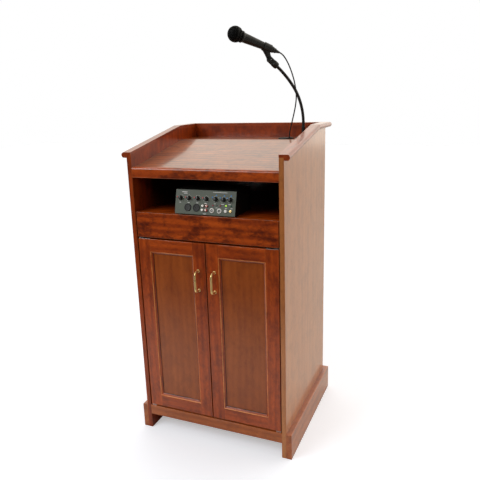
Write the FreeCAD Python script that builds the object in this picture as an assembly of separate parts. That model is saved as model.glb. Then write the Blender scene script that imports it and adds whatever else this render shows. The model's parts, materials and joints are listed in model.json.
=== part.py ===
import FreeCAD, Part
import math
import os

from FreeCAD import Placement, Rotation, Vector

# Presentation lectern: a wooden cabinet with a sloped reading desk, an open equipment bay,
# a drawer, two doors, a small mixer in the bay and a microphone on a gooseneck.
# Millimetres. +X is the presenter's right, +Y away from the presenter, +Z up from the floor.
# Pieces are drawn with y = 0 on the front edges of the side panels, then moved back so that
# the origin lies on the floor under the middle of the whole object.

# ---- carcass ----
WIDTH = 610.0               # across the outer faces of the side panels
DEPTH = 550.0               # front edge of a side panel to the back of the back panel
HEIGHT = 1225.0             # floor to the top of the back cap
PANEL_T = 18.0              # side panels, back, shelves and desk
EASE = 1.2                  # rounding on long visible edges
DESK_SLOPE = 10.5           # degrees, rising away from the presenter
LEDGE_DEPTH = 134.0         # level strip between the slope and the back panel
WALL_RISE = 59.0            # desk surface to the top of the cap

# ---- cap rail round the top ----
CAP_T = 10.0                # over the panel's top edge
NOSE_W = 21.0               # rounded nose outside the panel
NOSE_H = 20.0
NOSE_R = 9.5

# ---- front rails, shelves and base ----
RAIL_T = 20.0               # desk front rail and bottom rail, front to back
RAIL_DROP = 37.0            # desk surface at the rail down to the rail's lower edge
LIP_H = 3.5                 # paper stop above the desk surface
LIP_W = 15.0
LIP_ROUND = 9.0
BAY_H = 132.0               # desk rail down to the shelf that the mixer stands on
FLOOR_Z = 105.0             # top of the cabinet floor and of the bottom rail
BOTTOM_RAIL_H = 42.0
BASE_H = 104.0
BASE_T = 21.0
BASE_EASE = 4.0

# ---- fronts ----
SIDE_GAP = 4.0              # doors and drawer front to the side panels, and between the doors
FRONT_RECESS = 2.0          # fronts set back from the panel edges
DOOR_T = 20.0
DOOR_LIFT = 6.0             # bottom rail to door
FRAME_W = 58.0              # stiles and rails, with their moulded inner edge
STICKING_W = 8.0            # moulded inner edge
STICKING_D = 6.5
PANEL_SET_BACK = 9.0        # door panel behind the frame's face
DOOR_PANEL_T = 6.0
GROOVE_FIT = 0.1            # panel in its groove, each face
GROOVE_END = 1.0            # panel edge to the bottom of its groove
FRONT_CLEAR = 4.0           # back of the doors to whatever is behind them

# ---- door pivots ----
PIVOT_IN = 10.0             # from the door's outer edge
PIVOT_BACK = 9.0            # from the door's face
PIN_R = 3.0
PIN_FIT = 0.05              # radial
PIN_L = 12.0
STILE_BORE_CLEAR = 0.5      # pivot pin in the stile's end, radial
PLATE_T = 2.5               # fixed plate above the door
DOOR_PLATE_T = 1.5
PLATE_GAP = 0.5
PLATE_HALF = 9.0
PLATE_BACK = 60.0
DOOR_PLATE_L = 48.0

# ---- catches and handles ----
CATCH_X = 42.0
CATCH_W = 20.0
CATCH_L = 36.0
CATCH_H = 16.0
STRIKE_T = 1.2
STRIKE_GAP = 0.5
HANDLE_X = 33.0
HANDLE_DROP = 145.0         # door top to the middle of the pull
HANDLE_PITCH = 76.2
HANDLE_WIRE = 8.0
HANDLE_OUT = 32.0           # door face to the front of the grip
HANDLE_BEND = 13.0
ROSETTE_R = 6.5
ROSETTE_T = 2.5
SCREW_R = 2.0
SCREW_FIT = 0.15
SCREW_HEAD_R = 4.0
SCREW_HEAD_T = 2.5
SCREW_BITE = 7.0            # screw length inside the handle foot

# ---- drawer ----
DRAWER_GAP = 7.0            # door top to the drawer front
DRAWER_FRONT_H = 96.0
DRAWER_RISE = 2.0           # drawer front above the bay's shelf
DRAWER_FRONT_T = 18.0
GRIP_D = 8.0                # finger rebate behind the top edge
GRIP_H = 14.0
GRIP_EASE = 3.0
SHELF_FRONT = 26.0          # front edge of the bay shelf
DRAWER_LENGTH = 420.0
BOX_T = 12.0
BOX_SIDE_CLEAR = 13.0       # box to side panel, filled by the slides
BOX_CLEAR_BELOW = 2.5
BOX_CLEAR_ABOVE = 6.0
DRAWER_BOTTOM_T = 6.0
DRAWER_BOTTOM_UP = 4.0
SLIDE_T = 1.5
SLIDE_H = 38.0
SLIDE_NEST = 4.0
SLIDE_REACH = 10.0

# ---- loose shelf in the cabinet ----
LOOSE_SHELF_Z = 452.0
LOOSE_SHELF_D = 440.0
LOOSE_SHELF_GAP = 1.5
PEG_R = 2.5
PEG_IN = 8.0
PEG_OUT = 9.0
PEG_INSET = 50.0

# ---- mixer ----
MIXER_W = 240.0
MIXER_H = 88.0
MIXER_D = 150.0
MIXER_LEAN = 24.0           # top of the face behind its lower edge
MIXER_FRONT = 8.0
MIXER_SHEET = 1.6
MIXER_BEND_R = 2.6          # outside of the sheet's folds
FOOT_H = 3.0
FOOT_R = 6.0
KNOB_U = (0.086, 0.228, 0.375, 0.517, 0.672, 0.802, 0.912)
KNOB_V = 0.34
KNOB_R = 8.0
KNOB_H = 13.0
KNOB_GAP = 1.0
KNOB_SKIRT_H = 4.0
SHAFT_R = 3.0
SHAFT_L = 8.5
PANEL_HOLE_CLEAR = 0.5
POT_R = 8.5
POT_L = 8.0
COMBO_U = (0.218, 0.362)
COMBO_V = 0.71
COMBO_R = 14.0
COMBO_OUT = 2.5
COMBO_BODY_R = 12.0
COMBO_BODY_L = 20.0
COMBO_BORE_L = 17.0
JACK_R = 3.25               # bore for a quarter-inch plug
JACK_WALL = 1.5
JACK_BODY_L = 14.0
JACK_BORE_L = 14.0
PHONO_PLACES = ((0.472, 0.62), (0.535, 0.62), (0.468, 0.787), (0.531, 0.787))
PHONO_R = 4.4
PHONO_OUT = 7.0
PHONO_BODY_L = 8.0
PHONO_BORE_R = 1.6
PHONO_BORE_L = 9.0
JACK_PLACES = ((0.624, 0.788), (0.744, 0.789))
NUT_R = 8.8
NUT_H = 3.5
SMALL_JACK_PLACE = (0.927, 0.79)
SMALL_JACK_R = 1.85
SMALL_JACK_WALL = 1.2
SMALL_JACK_BODY_L = 10.0
SMALL_JACK_BORE_L = 9.0
SMALL_NUT_R = 5.2
SMALL_NUT_H = 2.5
LAMP_PLACES = ((0.637, 0.589), (0.695, 0.575), (0.756, 0.583), (0.850, 0.575), (0.934, 0.572))
LAMP_R = 2.5
LAMP_OUT = 3.0
LAMP_BODY_L = 4.0
BUTTON_PLACE = (0.849, 0.787)
BUTTON_R = 5.4
BUTTON_OUT = 4.5
BUTTON_IN = 6.0             # shank behind the face
BUTTON_TRAVEL = 2.5
SWITCH_L = 9.5
INSIDE_GAP = 0.5            # between parts behind the face that don't touch
BOARD_T = 1.6
BOARD_H = 70.0
BOARD_BACK = 26.0           # face to the circuit board
BOARD_INSET = 12.0

# ---- microphone on its gooseneck ----
NECK_X = 234.0
NECK_Y = 470.0
NECK_HEADING = 40.0         # degrees from straight at the presenter towards the middle
NECK_R = 6.0
NECK_RISE = 60.0            # straight up from the ledge
NECK_BENDS = ((240.0, 38.0), (433.0, 14.0))     # radius, degrees
FERRULE_R = 7.5
FERRULE_L = 30.0
FLANGE_R = 31.0
FLANGE_T = 5.0
FLANGE_SCREW_PCR = 22.0     # screws' distance from the neck's axis
FLANGE_SCREW_L = 16.0
COLLAR_R = 10.5
COLLAR_L = 18.0
BARREL_R = 13.0
BARREL_L = 24.0
BARREL_OVER = 6.0           # neck inside the barrel
BARREL_FIT = 0.3
PIVOT_REACH = 34.0          # neck end to the tilt pin
KNUCKLE_R = 10.0
KNUCKLE_W = 8.0
EAR_W = 4.0
EAR_GAP = 0.4
EAR_ROOT = 3.0              # ears' length inside the barrel's end
TILT_PIN_R = 2.0
TILT_PIN_PROUD = 1.5
MIC_RISE = 38.0             # tilt pin to the microphone's axis
MIC_TILT = 18.5             # degrees above level
MIC_LEAD = 12.0             # clip ahead of the tilt pin
BALL_R = 29.0
MIC_REACH = 140.0           # ball centre back to the middle of the clip
BALL_CUT = 22.0             # ball centre to the flat where the body starts
GRILLE_WALL = 1.2
CAPSULE_R = 12.0
CAPSULE_L = 16.0
COLLAR_BAND = 8.0           # band under the ball
COLLAR_PROUD = 3.5
BODY_TOP = 34.0             # ball centre to the top of the tapered handle
MIC_WALL = 2.0
MIC_TOP_R = 18.0
MIC_TAIL_R = 11.5
MIC_TAIL = 168.0            # ball centre to the end of the body
CLIP_L = 36.0
CLIP_WALL = 3.2
CLIP_FIT = 0.15
CLIP_OPEN = 70.0            # degrees
STEM_FOOT_W = 18.0
STEM_TOP_W = 30.0
PLUG_R = 9.2
PLUG_L = 10.0
BOOT_L = 18.0
BOOT_TIP_R = 3.7
CORD_R = 2.5

# ---- grommet and cord ----
GROMMET_X = 170.0
GROMMET_Y = 440.0
GROMMET_R = 31.0
GROMMET_T = 4.0
GROMMET_BORE = 25.0
GROMMET_FIT = 0.3
GROMMET_WALL = 2.5
SLOT_R = 7.0
SLOT_HALF = 9.0
SLOT_FLAT = 0.2             # short flat at each end of the slot
LID_SINK = 1.0
CORD_EXIT = 15.0            # straight run out of the plug
CORD_IN_X = 184.0           # where the cord drops through the grommet
CORD_END_DROP = 8.0         # how far into the grommet it goes
CORD_ROUTE = (
    (187.5, 406.5, 1464.5),
    (200.0, 411.5, 1434.0),
    (210.0, 417.5, 1400.0),
    (216.5, 423.0, 1364.0),
    (218.0, 428.0, 1330.0),
    (213.5, 431.5, 1297.0),
    (205.0, 434.5, 1263.0),
    (195.5, 437.5, 1229.0),
    (187.5, 439.5, 1200.0),
)

# ---- worked out from the above ----
INNER = WIDTH / 2 - PANEL_T
BACK_IN = DEPTH - PANEL_T
SLOPE = math.tan(math.radians(DESK_SLOPE))
HALF_SLOPE = math.tan(math.radians(DESK_SLOPE / 2))
LEDGE_Z = HEIGHT - WALL_RISE
CREASE_Y = BACK_IN - LEDGE_DEPTH
BEND_Y = CREASE_Y - WALL_RISE * HALF_SLOPE
DESK_RAIL_Z = LEDGE_Z - (CREASE_Y - RAIL_T) * SLOPE - RAIL_DROP
BAY_FLOOR_Z = DESK_RAIL_Z - BAY_H
DRAWER_TOP_Z = BAY_FLOOR_Z + DRAWER_RISE
DRAWER_BOTTOM_Z = DRAWER_TOP_Z - DRAWER_FRONT_H
DOOR_TOP_Z = DRAWER_BOTTOM_Z - DRAWER_GAP
DOOR_BOTTOM_Z = FLOOR_Z + DOOR_LIFT
FRONT_HALF = INNER - SIDE_GAP
DOOR_W = FRONT_HALF - SIDE_GAP / 2
DOOR_BACK_Y = FRONT_RECESS + DOOR_T
CLEAR_Y = DOOR_BACK_Y + FRONT_CLEAR - FRONT_RECESS
PLATE_Z = DOOR_TOP_Z + DOOR_PLATE_T + PLATE_GAP
DIVIDER_Z = PLATE_Z + PLATE_T
BOX_Z = DIVIDER_Z + PANEL_T + BOX_CLEAR_BELOW
BOX_TOP_Z = BAY_FLOOR_Z - PANEL_T - BOX_CLEAR_ABOVE
BOX_X = INNER - BOX_SIDE_CLEAR
SLIDE_Z = (BOX_Z + BOX_TOP_Z) / 2 - SLIDE_H / 2
PIVOT_X = FRONT_HALF - PIVOT_IN
PIVOT_Y = FRONT_RECESS + PIVOT_BACK
HANDLE_FEET = tuple(DOOR_TOP_Z - HANDLE_DROP + side * HANDLE_PITCH / 2 for side in (-1, 1))
PEG_Z = LOOSE_SHELF_Z - PEG_R
PEG_YS = (BACK_IN - LOOSE_SHELF_D + PEG_INSET, BACK_IN - PEG_INSET)
MIXER_Z = BAY_FLOOR_Z + FOOT_H
FACE_L = math.hypot(MIXER_LEAN, MIXER_H)
FACE_LEAN = math.degrees(math.atan2(MIXER_LEAN, MIXER_H))
HEADING = Vector(-math.sin(math.radians(NECK_HEADING)), -math.cos(math.radians(NECK_HEADING)), 0)
SIDEWAYS = HEADING.cross(Vector(0, 0, 1))
FRONT = (HANDLE_OUT - FRONT_RECESS - DEPTH - BASE_T) / 2

os.makedirs("parts", exist_ok=True)


def save(node, *solids):
    """Write one node, moved so that the origin lies under the middle of the object."""
    shape = solids[0] if len(solids) == 1 else Part.makeCompound(list(solids))
    shape = shape.copy()
    shape.translate(Vector(0, FRONT, 0))
    shape.exportStep(f"parts/{node}.step")


def box(x0, x1, y0, y1, z0, z1):
    low = Vector(min(x0, x1), min(y0, y1), min(z0, z1))
    return Part.makeBox(abs(x1 - x0), abs(y1 - y0), abs(z1 - z0), low)


def outline(points, place):
    """Closed wire through 2-D points (a, b) or (a, b, radius), its corners rounded."""
    corners = [(Vector(p[0], p[1], 0), p[2] if len(p) > 2 else 0.0) for p in points]
    count = len(corners)
    stretches = []
    for i, (corner, radius) in enumerate(corners):
        before = (corners[i - 1][0] - corner).normalize()
        after = (corners[(i + 1) % count][0] - corner).normalize()
        half = before.getAngle(after) / 2
        cut = radius / math.tan(half) if radius else 0.0
        start = corner + before * cut
        end = corner + after * cut
        middle = None
        if radius:
            inward = (before + after).normalize()
            middle = corner + inward * (radius / math.sin(half) - radius)
        stretches.append((start, middle, end))
    edges = []
    for i, (start, middle, end) in enumerate(stretches):
        if middle is not None:
            edges.append(Part.Arc(place(start), place(middle), place(end)).toShape())
        following = stretches[(i + 1) % count][0]
        if (following - end).Length > 1e-6:
            edges.append(Part.LineSegment(place(end), place(following)).toShape())
    return Part.Wire(edges)


def prism_x(points, x0, x1):
    """A side view in (y, z) carried from x0 to x1."""
    face = Part.Face(outline(points, lambda p: Vector(x0, p.x, p.y)))
    return face.extrude(Vector(x1 - x0, 0, 0))


def prism_y(points, y0, y1):
    """A front view in (x, z) carried from y0 to y1."""
    face = Part.Face(outline(points, lambda p: Vector(p.x, y0, p.y)))
    return face.extrude(Vector(0, y1 - y0, 0))


def prism_z(points, z0, z1):
    """A plan in (x, y) carried from z0 to z1."""
    face = Part.Face(outline(points, lambda p: Vector(p.x, p.y, z0)))
    return face.extrude(Vector(0, 0, z1 - z0))


def rod(start, end, radius):
    return Part.makeCylinder(radius, (end - start).Length, start, end - start)


def turned(profile):
    """A profile of (radius, height, rounding) points turned about +Z."""
    face = Part.Face(outline(profile, lambda p: Vector(p.x, 0, p.y)))
    return face.revolve(Vector(0, 0, 0), Vector(0, 0, 1), 360)


def ease(shape, radius, wanted):
    """Round the straight edges whose middle and direction the test accepts."""
    edges = []
    for edge in shape.Edges:
        if len(edge.Vertexes) < 2:
            continue
        ends = [v.Point for v in edge.Vertexes]
        if wanted(edge.CenterOfMass, (ends[1] - ends[0]).normalize()):
            edges.append(edge)
    return shape.makeFillet(radius, edges) if edges else shape


def flange_screw_spots():
    spots = []
    for i in range(3):
        a = math.radians(30 + 120 * i)
        across = FLANGE_SCREW_PCR * Vector(math.cos(a), math.sin(a), 0)
        spots.append(Vector(NECK_X, NECK_Y, LEDGE_Z + FLANGE_T) + across)
    return spots


def mirrored(shape):
    return shape.mirror(Vector(0, 0, 0), Vector(1, 0, 0))


def place_along(shape, point, direction):
    """Stand a shape drawn about +Z at a point, along a direction."""
    copy = shape.copy()
    copy.Placement = Placement(point, Rotation(Vector(0, 0, 1), direction)).multiply(copy.Placement)
    return copy


def cap_top(y):
    return HEIGHT - max(0.0, BEND_Y - y) * SLOPE


def desk_top(y):
    return LEDGE_Z - max(0.0, CREASE_Y - y) * SLOPE


# ---- carcass pieces ----
def side_panel():
    """Right side panel, with the shelf peg holes in its inner face."""
    top = [(DEPTH, HEIGHT - CAP_T), (BEND_Y, HEIGHT - CAP_T), (0, cap_top(0) - CAP_T)]
    panel = prism_x([(0, 0), (DEPTH, 0)] + top, INNER, INNER + PANEL_T)
    panel = ease(panel, EASE, lambda c, d: c.y < 0.1 and abs(d.z) > 0.99)
    for peg_y in PEG_YS:
        panel = panel.cut(rod(Vector(INNER - 1, peg_y, PEG_Z), Vector(INNER + PEG_IN, peg_y, PEG_Z), PEG_R))
    return panel


def mitre_cutter(corner_x, corner_y, keep_side):
    """A block on one side of the vertical 45 degree plane through a back corner."""
    reach = 300.0
    low = (corner_x - reach, corner_y - reach)
    high = (corner_x + reach, corner_y + reach)
    third = (corner_x - reach, corner_y + reach) if keep_side else (corner_x + reach, corner_y - reach)
    return prism_z([low, high, third], -1, HEIGHT + 10)


def cap_rail_side():
    """Right cap rail: a flat strip over the panel with a rounded nose outside it."""
    far = DEPTH + NOSE_W
    x_out = WIDTH / 2 + NOSE_W

    def band(drop):
        line = [(0, cap_top(0)), (0, cap_top(0) - drop), (BEND_Y, HEIGHT - drop), (far, HEIGHT - drop)]
        return line + [(far, HEIGHT), (BEND_Y, HEIGHT)]

    strip = prism_x(band(CAP_T), INNER, WIDTH / 2)
    nose = prism_x(band(NOSE_H), WIDTH / 2, x_out)
    nose = ease(nose, NOSE_R, lambda c, d: c.x > x_out - 0.1 and abs(d.y) > 0.5)
    rail = strip.fuse(nose).removeSplitter()
    return rail.cut(mitre_cutter(INNER, BACK_IN, True))


def cap_rail_back():
    x_out = WIDTH / 2 + NOSE_W
    flat = [(BACK_IN, HEIGHT - CAP_T), (DEPTH, HEIGHT - CAP_T), (DEPTH, HEIGHT - NOSE_H)]
    nose = [(DEPTH + NOSE_W, HEIGHT - NOSE_H, NOSE_R), (DEPTH + NOSE_W, HEIGHT, NOSE_R), (BACK_IN, HEIGHT)]
    rail = prism_x(flat + nose, -x_out, x_out)
    cutter = mitre_cutter(INNER, BACK_IN, False)
    return rail.cut(cutter).cut(mirrored(cutter))


def base_side():
    board = prism_z([(WIDTH / 2, 0), (WIDTH / 2 + BASE_T, 0, EASE), (WIDTH / 2 + BASE_T, DEPTH + BASE_T),
                     (WIDTH / 2, DEPTH + BASE_T)], 0, BASE_H)
    board = ease(board, BASE_EASE, lambda c, d: c.x > WIDTH / 2 + BASE_T - 0.1 and c.z > BASE_H - 0.1)
    return board.cut(mitre_cutter(WIDTH / 2, DEPTH, True))


def base_back():
    board = prism_x([(DEPTH, 0), (DEPTH + BASE_T, 0), (DEPTH + BASE_T, BASE_H, BASE_EASE), (DEPTH, BASE_H)],
                    -WIDTH / 2 - BASE_T, WIDTH / 2 + BASE_T)
    cutter = mitre_cutter(WIDTH / 2, DEPTH, False)
    return board.cut(cutter).cut(mirrored(cutter))


def desk_front_rail():
    """Rounded rail with a low paper stop along the desk's front edge."""
    lip = desk_top(LIP_W) + LIP_H
    front = [(0, lip, LIP_ROUND), (0, DESK_RAIL_Z, LIP_ROUND / 3)]
    back = [(RAIL_T, DESK_RAIL_Z), (RAIL_T, desk_top(RAIL_T)), (LIP_W, desk_top(LIP_W)), (LIP_W, lip, EASE)]
    return prism_x(front + back, -INNER, INNER)


def desk_board():
    drop = PANEL_T / math.cos(math.radians(DESK_SLOPE))
    foot = (CREASE_Y + PANEL_T * HALF_SLOPE, LEDGE_Z - PANEL_T)
    points = [(RAIL_T, desk_top(RAIL_T)), (CREASE_Y, LEDGE_Z), foot, (RAIL_T, desk_top(RAIL_T) - drop)]
    return prism_x(points, -INNER, INNER)


def ledge_board():
    """Level strip behind the slope, bored for the cord grommet."""
    foot = (CREASE_Y + PANEL_T * HALF_SLOPE, LEDGE_Z - PANEL_T)
    points = [(CREASE_Y, LEDGE_Z), foot, (BACK_IN, LEDGE_Z - PANEL_T), (BACK_IN, LEDGE_Z)]
    board = prism_x(points, -INNER, INNER)
    board = board.cut(rod(Vector(GROMMET_X, GROMMET_Y, 0), Vector(GROMMET_X, GROMMET_Y, HEIGHT),
                          GROMMET_BORE + GROMMET_FIT))
    for spot in flange_screw_spots():
        board = board.cut(rod(spot - Vector(0, 0, FLANGE_SCREW_L), spot, SCREW_R))
    return board


def carcass():
    right = side_panel()
    save("side_panel_right", right)
    save("side_panel_left", mirrored(right))
    save("back_panel", box(-INNER, INNER, BACK_IN, DEPTH, 0, HEIGHT - CAP_T))
    save("desk_board", desk_board())
    save("ledge_board", ledge_board())
    save("desk_front_rail", desk_front_rail())
    save("bay_shelf", box(-INNER, INNER, SHELF_FRONT, BACK_IN, BAY_FLOOR_Z - PANEL_T, BAY_FLOOR_Z))
    save("divider_board", box(-INNER, INNER, CLEAR_Y, BACK_IN, DIVIDER_Z, DIVIDER_Z + PANEL_T))
    save("cabinet_floor", box(-INNER, INNER, RAIL_T, BACK_IN, FLOOR_Z - PANEL_T, FLOOR_Z))
    rail_low = FLOOR_Z - BOTTOM_RAIL_H
    rail = [(0, rail_low, EASE), (RAIL_T, rail_low), (RAIL_T, FLOOR_Z), (0, FLOOR_Z, EASE)]
    save("bottom_rail", prism_x(rail, -INNER, INNER))
    cap = cap_rail_side()
    save("cap_rail_right", cap)
    save("cap_rail_left", mirrored(cap))
    save("cap_rail_back", cap_rail_back())
    base = base_side()
    save("base_board_right", base)
    save("base_board_left", mirrored(base))
    save("base_board_back", base_back())


def loose_shelf():
    """Lift-out shelf on four pegs."""
    front = BACK_IN - LOOSE_SHELF_D - LOOSE_SHELF_GAP
    half = INNER - LOOSE_SHELF_GAP
    shelf = box(-half, half, front, BACK_IN - LOOSE_SHELF_GAP, LOOSE_SHELF_Z, LOOSE_SHELF_Z + PANEL_T)
    save("cabinet_shelf", ease(shelf, EASE, lambda c, d: c.y < front + 0.1 and abs(d.x) > 0.99))
    pegs = []
    for side in (-1, 1):
        for peg_y in PEG_YS:
            start = Vector(side * (INNER + PEG_IN), peg_y, PEG_Z)
            pegs.append(rod(start, Vector(side * (INNER - PEG_OUT), peg_y, PEG_Z), PEG_R))
    save("shelf_pegs", *pegs)


# ---- doors ----
def frame_profile(start, inward):
    """Section of a door frame member: width runs from start towards the panel."""
    face = FRONT_RECESS
    back = DOOR_BACK_Y
    groove = face + PANEL_SET_BACK
    edge = start + inward * FRAME_W
    quirk = edge - inward * STICKING_W
    return [
        (start, face, EASE), (quirk, face), (quirk, face + 1.5), (edge, face + STICKING_D, 3.0),
        (edge, groove), (quirk, groove), (quirk, groove + DOOR_PANEL_T), (edge, groove + DOOR_PANEL_T),
        (edge, back), (start, back),
    ]


def pivot_hole(z_low, z_high):
    return rod(Vector(PIVOT_X, PIVOT_Y, z_low), Vector(PIVOT_X, PIVOT_Y, z_high), PIN_R + STILE_BORE_CLEAR)


def door_pieces():
    """Pieces of the right door."""
    outer = FRONT_HALF
    inner = SIDE_GAP / 2
    outer_stile = prism_z(frame_profile(outer, -1), DOOR_BOTTOM_Z, DOOR_TOP_Z)
    inner_stile = prism_z(frame_profile(inner, 1), DOOR_BOTTOM_Z, DOOR_TOP_Z)
    rails = []
    for start, inward in ((DOOR_TOP_Z, -1), (DOOR_BOTTOM_Z, 1)):
        section = [(p[1], p[0]) + tuple(p[2:]) for p in frame_profile(start, inward)]
        rail = prism_x(section, inner + FRAME_W - STICKING_W, outer - FRAME_W + STICKING_W)
        rails.append(rail.cut(outer_stile).cut(inner_stile))
    outer_stile = outer_stile.cut(pivot_hole(DOOR_TOP_Z - PIN_L - 1, DOOR_TOP_Z + 1))
    outer_stile = outer_stile.cut(pivot_hole(DOOR_BOTTOM_Z - 1, DOOR_BOTTOM_Z + PIN_L + 1))
    for foot_z in HANDLE_FEET:
        start = Vector(HANDLE_X, FRONT_RECESS - 1, foot_z)
        inner_stile = inner_stile.cut(rod(start, start + Vector(0, DOOR_T + 2, 0), SCREW_R + SCREW_FIT))
    tuck = FRAME_W - STICKING_W + GROOVE_END
    front = FRONT_RECESS + PANEL_SET_BACK
    panel = box(inner + tuck, outer - tuck, front + GROOVE_FIT, front + DOOR_PANEL_T - GROOVE_FIT,
                DOOR_BOTTOM_Z + tuck, DOOR_TOP_Z - tuck)
    return {"stiles": [outer_stile, inner_stile], "rails": rails, "panel": [panel]}


def door_handle():
    """Bent wire pull with a small foot at each end."""
    reach = HANDLE_OUT - HANDLE_WIRE / 2
    low, high = HANDLE_FEET
    face = FRONT_RECESS
    grip = face - reach
    bend = HANDLE_BEND
    nip = bend * (1 - math.sqrt(0.5))

    def at(y, z):
        return Vector(HANDLE_X, y, z)

    path = Part.Wire([
        Part.LineSegment(at(face, low), at(grip + bend, low)).toShape(),
        Part.Arc(at(grip + bend, low), at(grip + nip, low + nip), at(grip, low + bend)).toShape(),
        Part.LineSegment(at(grip, low + bend), at(grip, high - bend)).toShape(),
        Part.Arc(at(grip, high - bend), at(grip + nip, high - nip), at(grip + bend, high)).toShape(),
        Part.LineSegment(at(grip + bend, high), at(face, high)).toShape(),
    ])
    section = Part.Wire(Part.makeCircle(HANDLE_WIRE / 2, at(face, low), Vector(0, -1, 0)))
    pull = path.makePipeShell([section], True, True)
    for foot_z in HANDLE_FEET:
        foot = turned([(0, 0), (ROSETTE_R, 0), (ROSETTE_R, ROSETTE_T, 1.0), (0, ROSETTE_T)])
        pull = pull.fuse(place_along(foot, at(face, foot_z), Vector(0, -1, 0)))
        pull = pull.cut(rod(at(face + 1, foot_z), at(face - SCREW_BITE - 1, foot_z), SCREW_R + SCREW_FIT))
    return pull


def door_fixings():
    """Handle screws and the catch's strike plate, on the door's inner face."""
    screws = []
    for foot_z in HANDLE_FEET:
        seat = Vector(HANDLE_X, DOOR_BACK_Y, foot_z)
        shank = rod(seat, Vector(HANDLE_X, FRONT_RECESS - SCREW_BITE, foot_z), SCREW_R)
        head = turned([(0, 0), (SCREW_HEAD_R, 0), (SCREW_HEAD_R, SCREW_HEAD_T, 1.2), (0, SCREW_HEAD_T)])
        screws.append(place_along(head, seat, Vector(0, 1, 0)).fuse(shank))
    half = CATCH_W / 2
    strike = box(CATCH_X - half, CATCH_X + half, DOOR_BACK_Y, DOOR_BACK_Y + STRIKE_T,
                 DIVIDER_Z - CATCH_H, DOOR_TOP_Z - 1)
    return screws + [strike]


def door_plates():
    """Pivot plates on the door's top and bottom edges."""
    plates = []
    for z in (DOOR_TOP_Z, DOOR_BOTTOM_Z - DOOR_PLATE_T):
        plate = box(PIVOT_X - DOOR_PLATE_L + PLATE_HALF, PIVOT_X + PLATE_HALF, PIVOT_Y - 6, PIVOT_Y + 8,
                    z, z + DOOR_PLATE_T)
        hole = rod(Vector(PIVOT_X, PIVOT_Y, z - 1), Vector(PIVOT_X, PIVOT_Y, z + 5), PIN_R + PIN_FIT)
        plates.append(plate.cut(hole))
    return plates


def fixed_plates():
    """Pivot plates with pins for the right door: one under the divider, one on the floor."""
    low_plate_t = DOOR_LIFT - DOOR_PLATE_T - PLATE_GAP
    plates = []
    for z, thick, way in ((PLATE_Z, PLATE_T, -1), (FLOOR_Z, low_plate_t, 1)):
        plate = box(PIVOT_X - PLATE_HALF, PIVOT_X + PLATE_HALF, PIVOT_Y - 6, PLATE_BACK, z, z + thick)
        root = z + (thick if way > 0 else 0)
        pin = rod(Vector(PIVOT_X, PIVOT_Y, root), Vector(PIVOT_X, PIVOT_Y, root + way * PIN_L), PIN_R)
        plates.append(plate.fuse(pin))
    return plates


def doors():
    pieces = door_pieces()
    pieces["handle"] = [door_handle()]
    pieces["fixings"] = door_fixings()
    pieces["pivot_plates"] = door_plates()
    for name, solids in pieces.items():
        save(f"right_door_{name}", *solids)
        save(f"left_door_{name}", *[mirrored(s) for s in solids])
    plates = fixed_plates()
    save("frame_pivot_plates", *(plates + [mirrored(p) for p in plates]))
    front = DOOR_BACK_Y + STRIKE_T + STRIKE_GAP
    catches = []
    for side in (-1, 1):
        x = side * CATCH_X
        catch = box(x - CATCH_W / 2, x + CATCH_W / 2, front, front + CATCH_L, DIVIDER_Z - CATCH_H, DIVIDER_Z)
        catches.append(catch)
    save("magnetic_catches", *catches)


# ---- drawer ----
def channel(wall, way, depth, low, high):
    """Front view of a slide: a web against the wall with a flange at the top and the bottom."""
    web = wall + way * SLIDE_T
    reach = wall + way * depth
    lower = [(wall, low), (reach, low), (reach, low + SLIDE_T), (web, low + SLIDE_T)]
    upper = [(web, high - SLIDE_T), (reach, high - SLIDE_T), (reach, high), (wall, high)]
    return lower + upper


def drawer():
    face = FRONT_RECESS
    back = face + DRAWER_FRONT_T
    z0, z1 = DRAWER_BOTTOM_Z, DRAWER_TOP_Z
    grip = back - GRIP_D
    rebate = [(back, z1 - GRIP_H), (grip, z1 - GRIP_H, GRIP_EASE), (grip, z1, EASE)]
    side = [(face, z0, EASE), (back, z0)] + rebate + [(face, z1, EASE)]
    save("drawer_front", prism_x(side, -FRONT_HALF, FRONT_HALF))
    far = back + DRAWER_LENGTH
    inside = BOX_X - BOX_T
    walls = [
        box(-BOX_X, -inside, back, far, BOX_Z, BOX_TOP_Z),
        box(inside, BOX_X, back, far, BOX_Z, BOX_TOP_Z),
        box(-inside, inside, back, back + BOX_T, BOX_Z, BOX_TOP_Z),
        box(-inside, inside, far - BOX_T, far, BOX_Z, BOX_TOP_Z),
    ]
    save("drawer_walls", *walls)
    floor = BOX_Z + DRAWER_BOTTOM_UP
    save("drawer_bottom", box(-inside, inside, back + BOX_T, far - BOX_T, floor, floor + DRAWER_BOTTOM_T))
    fixed = []
    moving = []
    top = SLIDE_Z + SLIDE_H
    for way in (-1, 1):
        section = channel(way * INNER, -way, SLIDE_REACH, SLIDE_Z, top)
        fixed.append(prism_y(section, SHELF_FRONT, SHELF_FRONT + DRAWER_LENGTH))
        section = channel(way * BOX_X, way, SLIDE_REACH - 1, SLIDE_Z + SLIDE_NEST, top - SLIDE_NEST)
        moving.append(prism_y(section, SHELF_FRONT, far))
    save("case_slides", *fixed)
    save("drawer_slides", *moving)


# ---- mixer ----
def on_face(shape, place):
    """Put a shape drawn about +Z on the mixer's leaning face; place is (across, down) in shares."""
    u, v = place
    up = FACE_L * (1 - v)
    lean = math.radians(FACE_LEAN)
    spot = Vector((u - 0.5) * MIXER_W, MIXER_FRONT + up * math.sin(lean), MIXER_Z + up * math.cos(lean))
    turn = Placement(spot, Rotation(Vector(1, 0, 0), 90 - FACE_LEAN))
    copy = shape.copy()
    copy.Placement = turn.multiply(copy.Placement)
    return copy


def disc(radius, z0, z1, rounding=0.0):
    return turned([(0, z0), (radius, z0), (radius, z1, rounding), (0, z1)])


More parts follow.
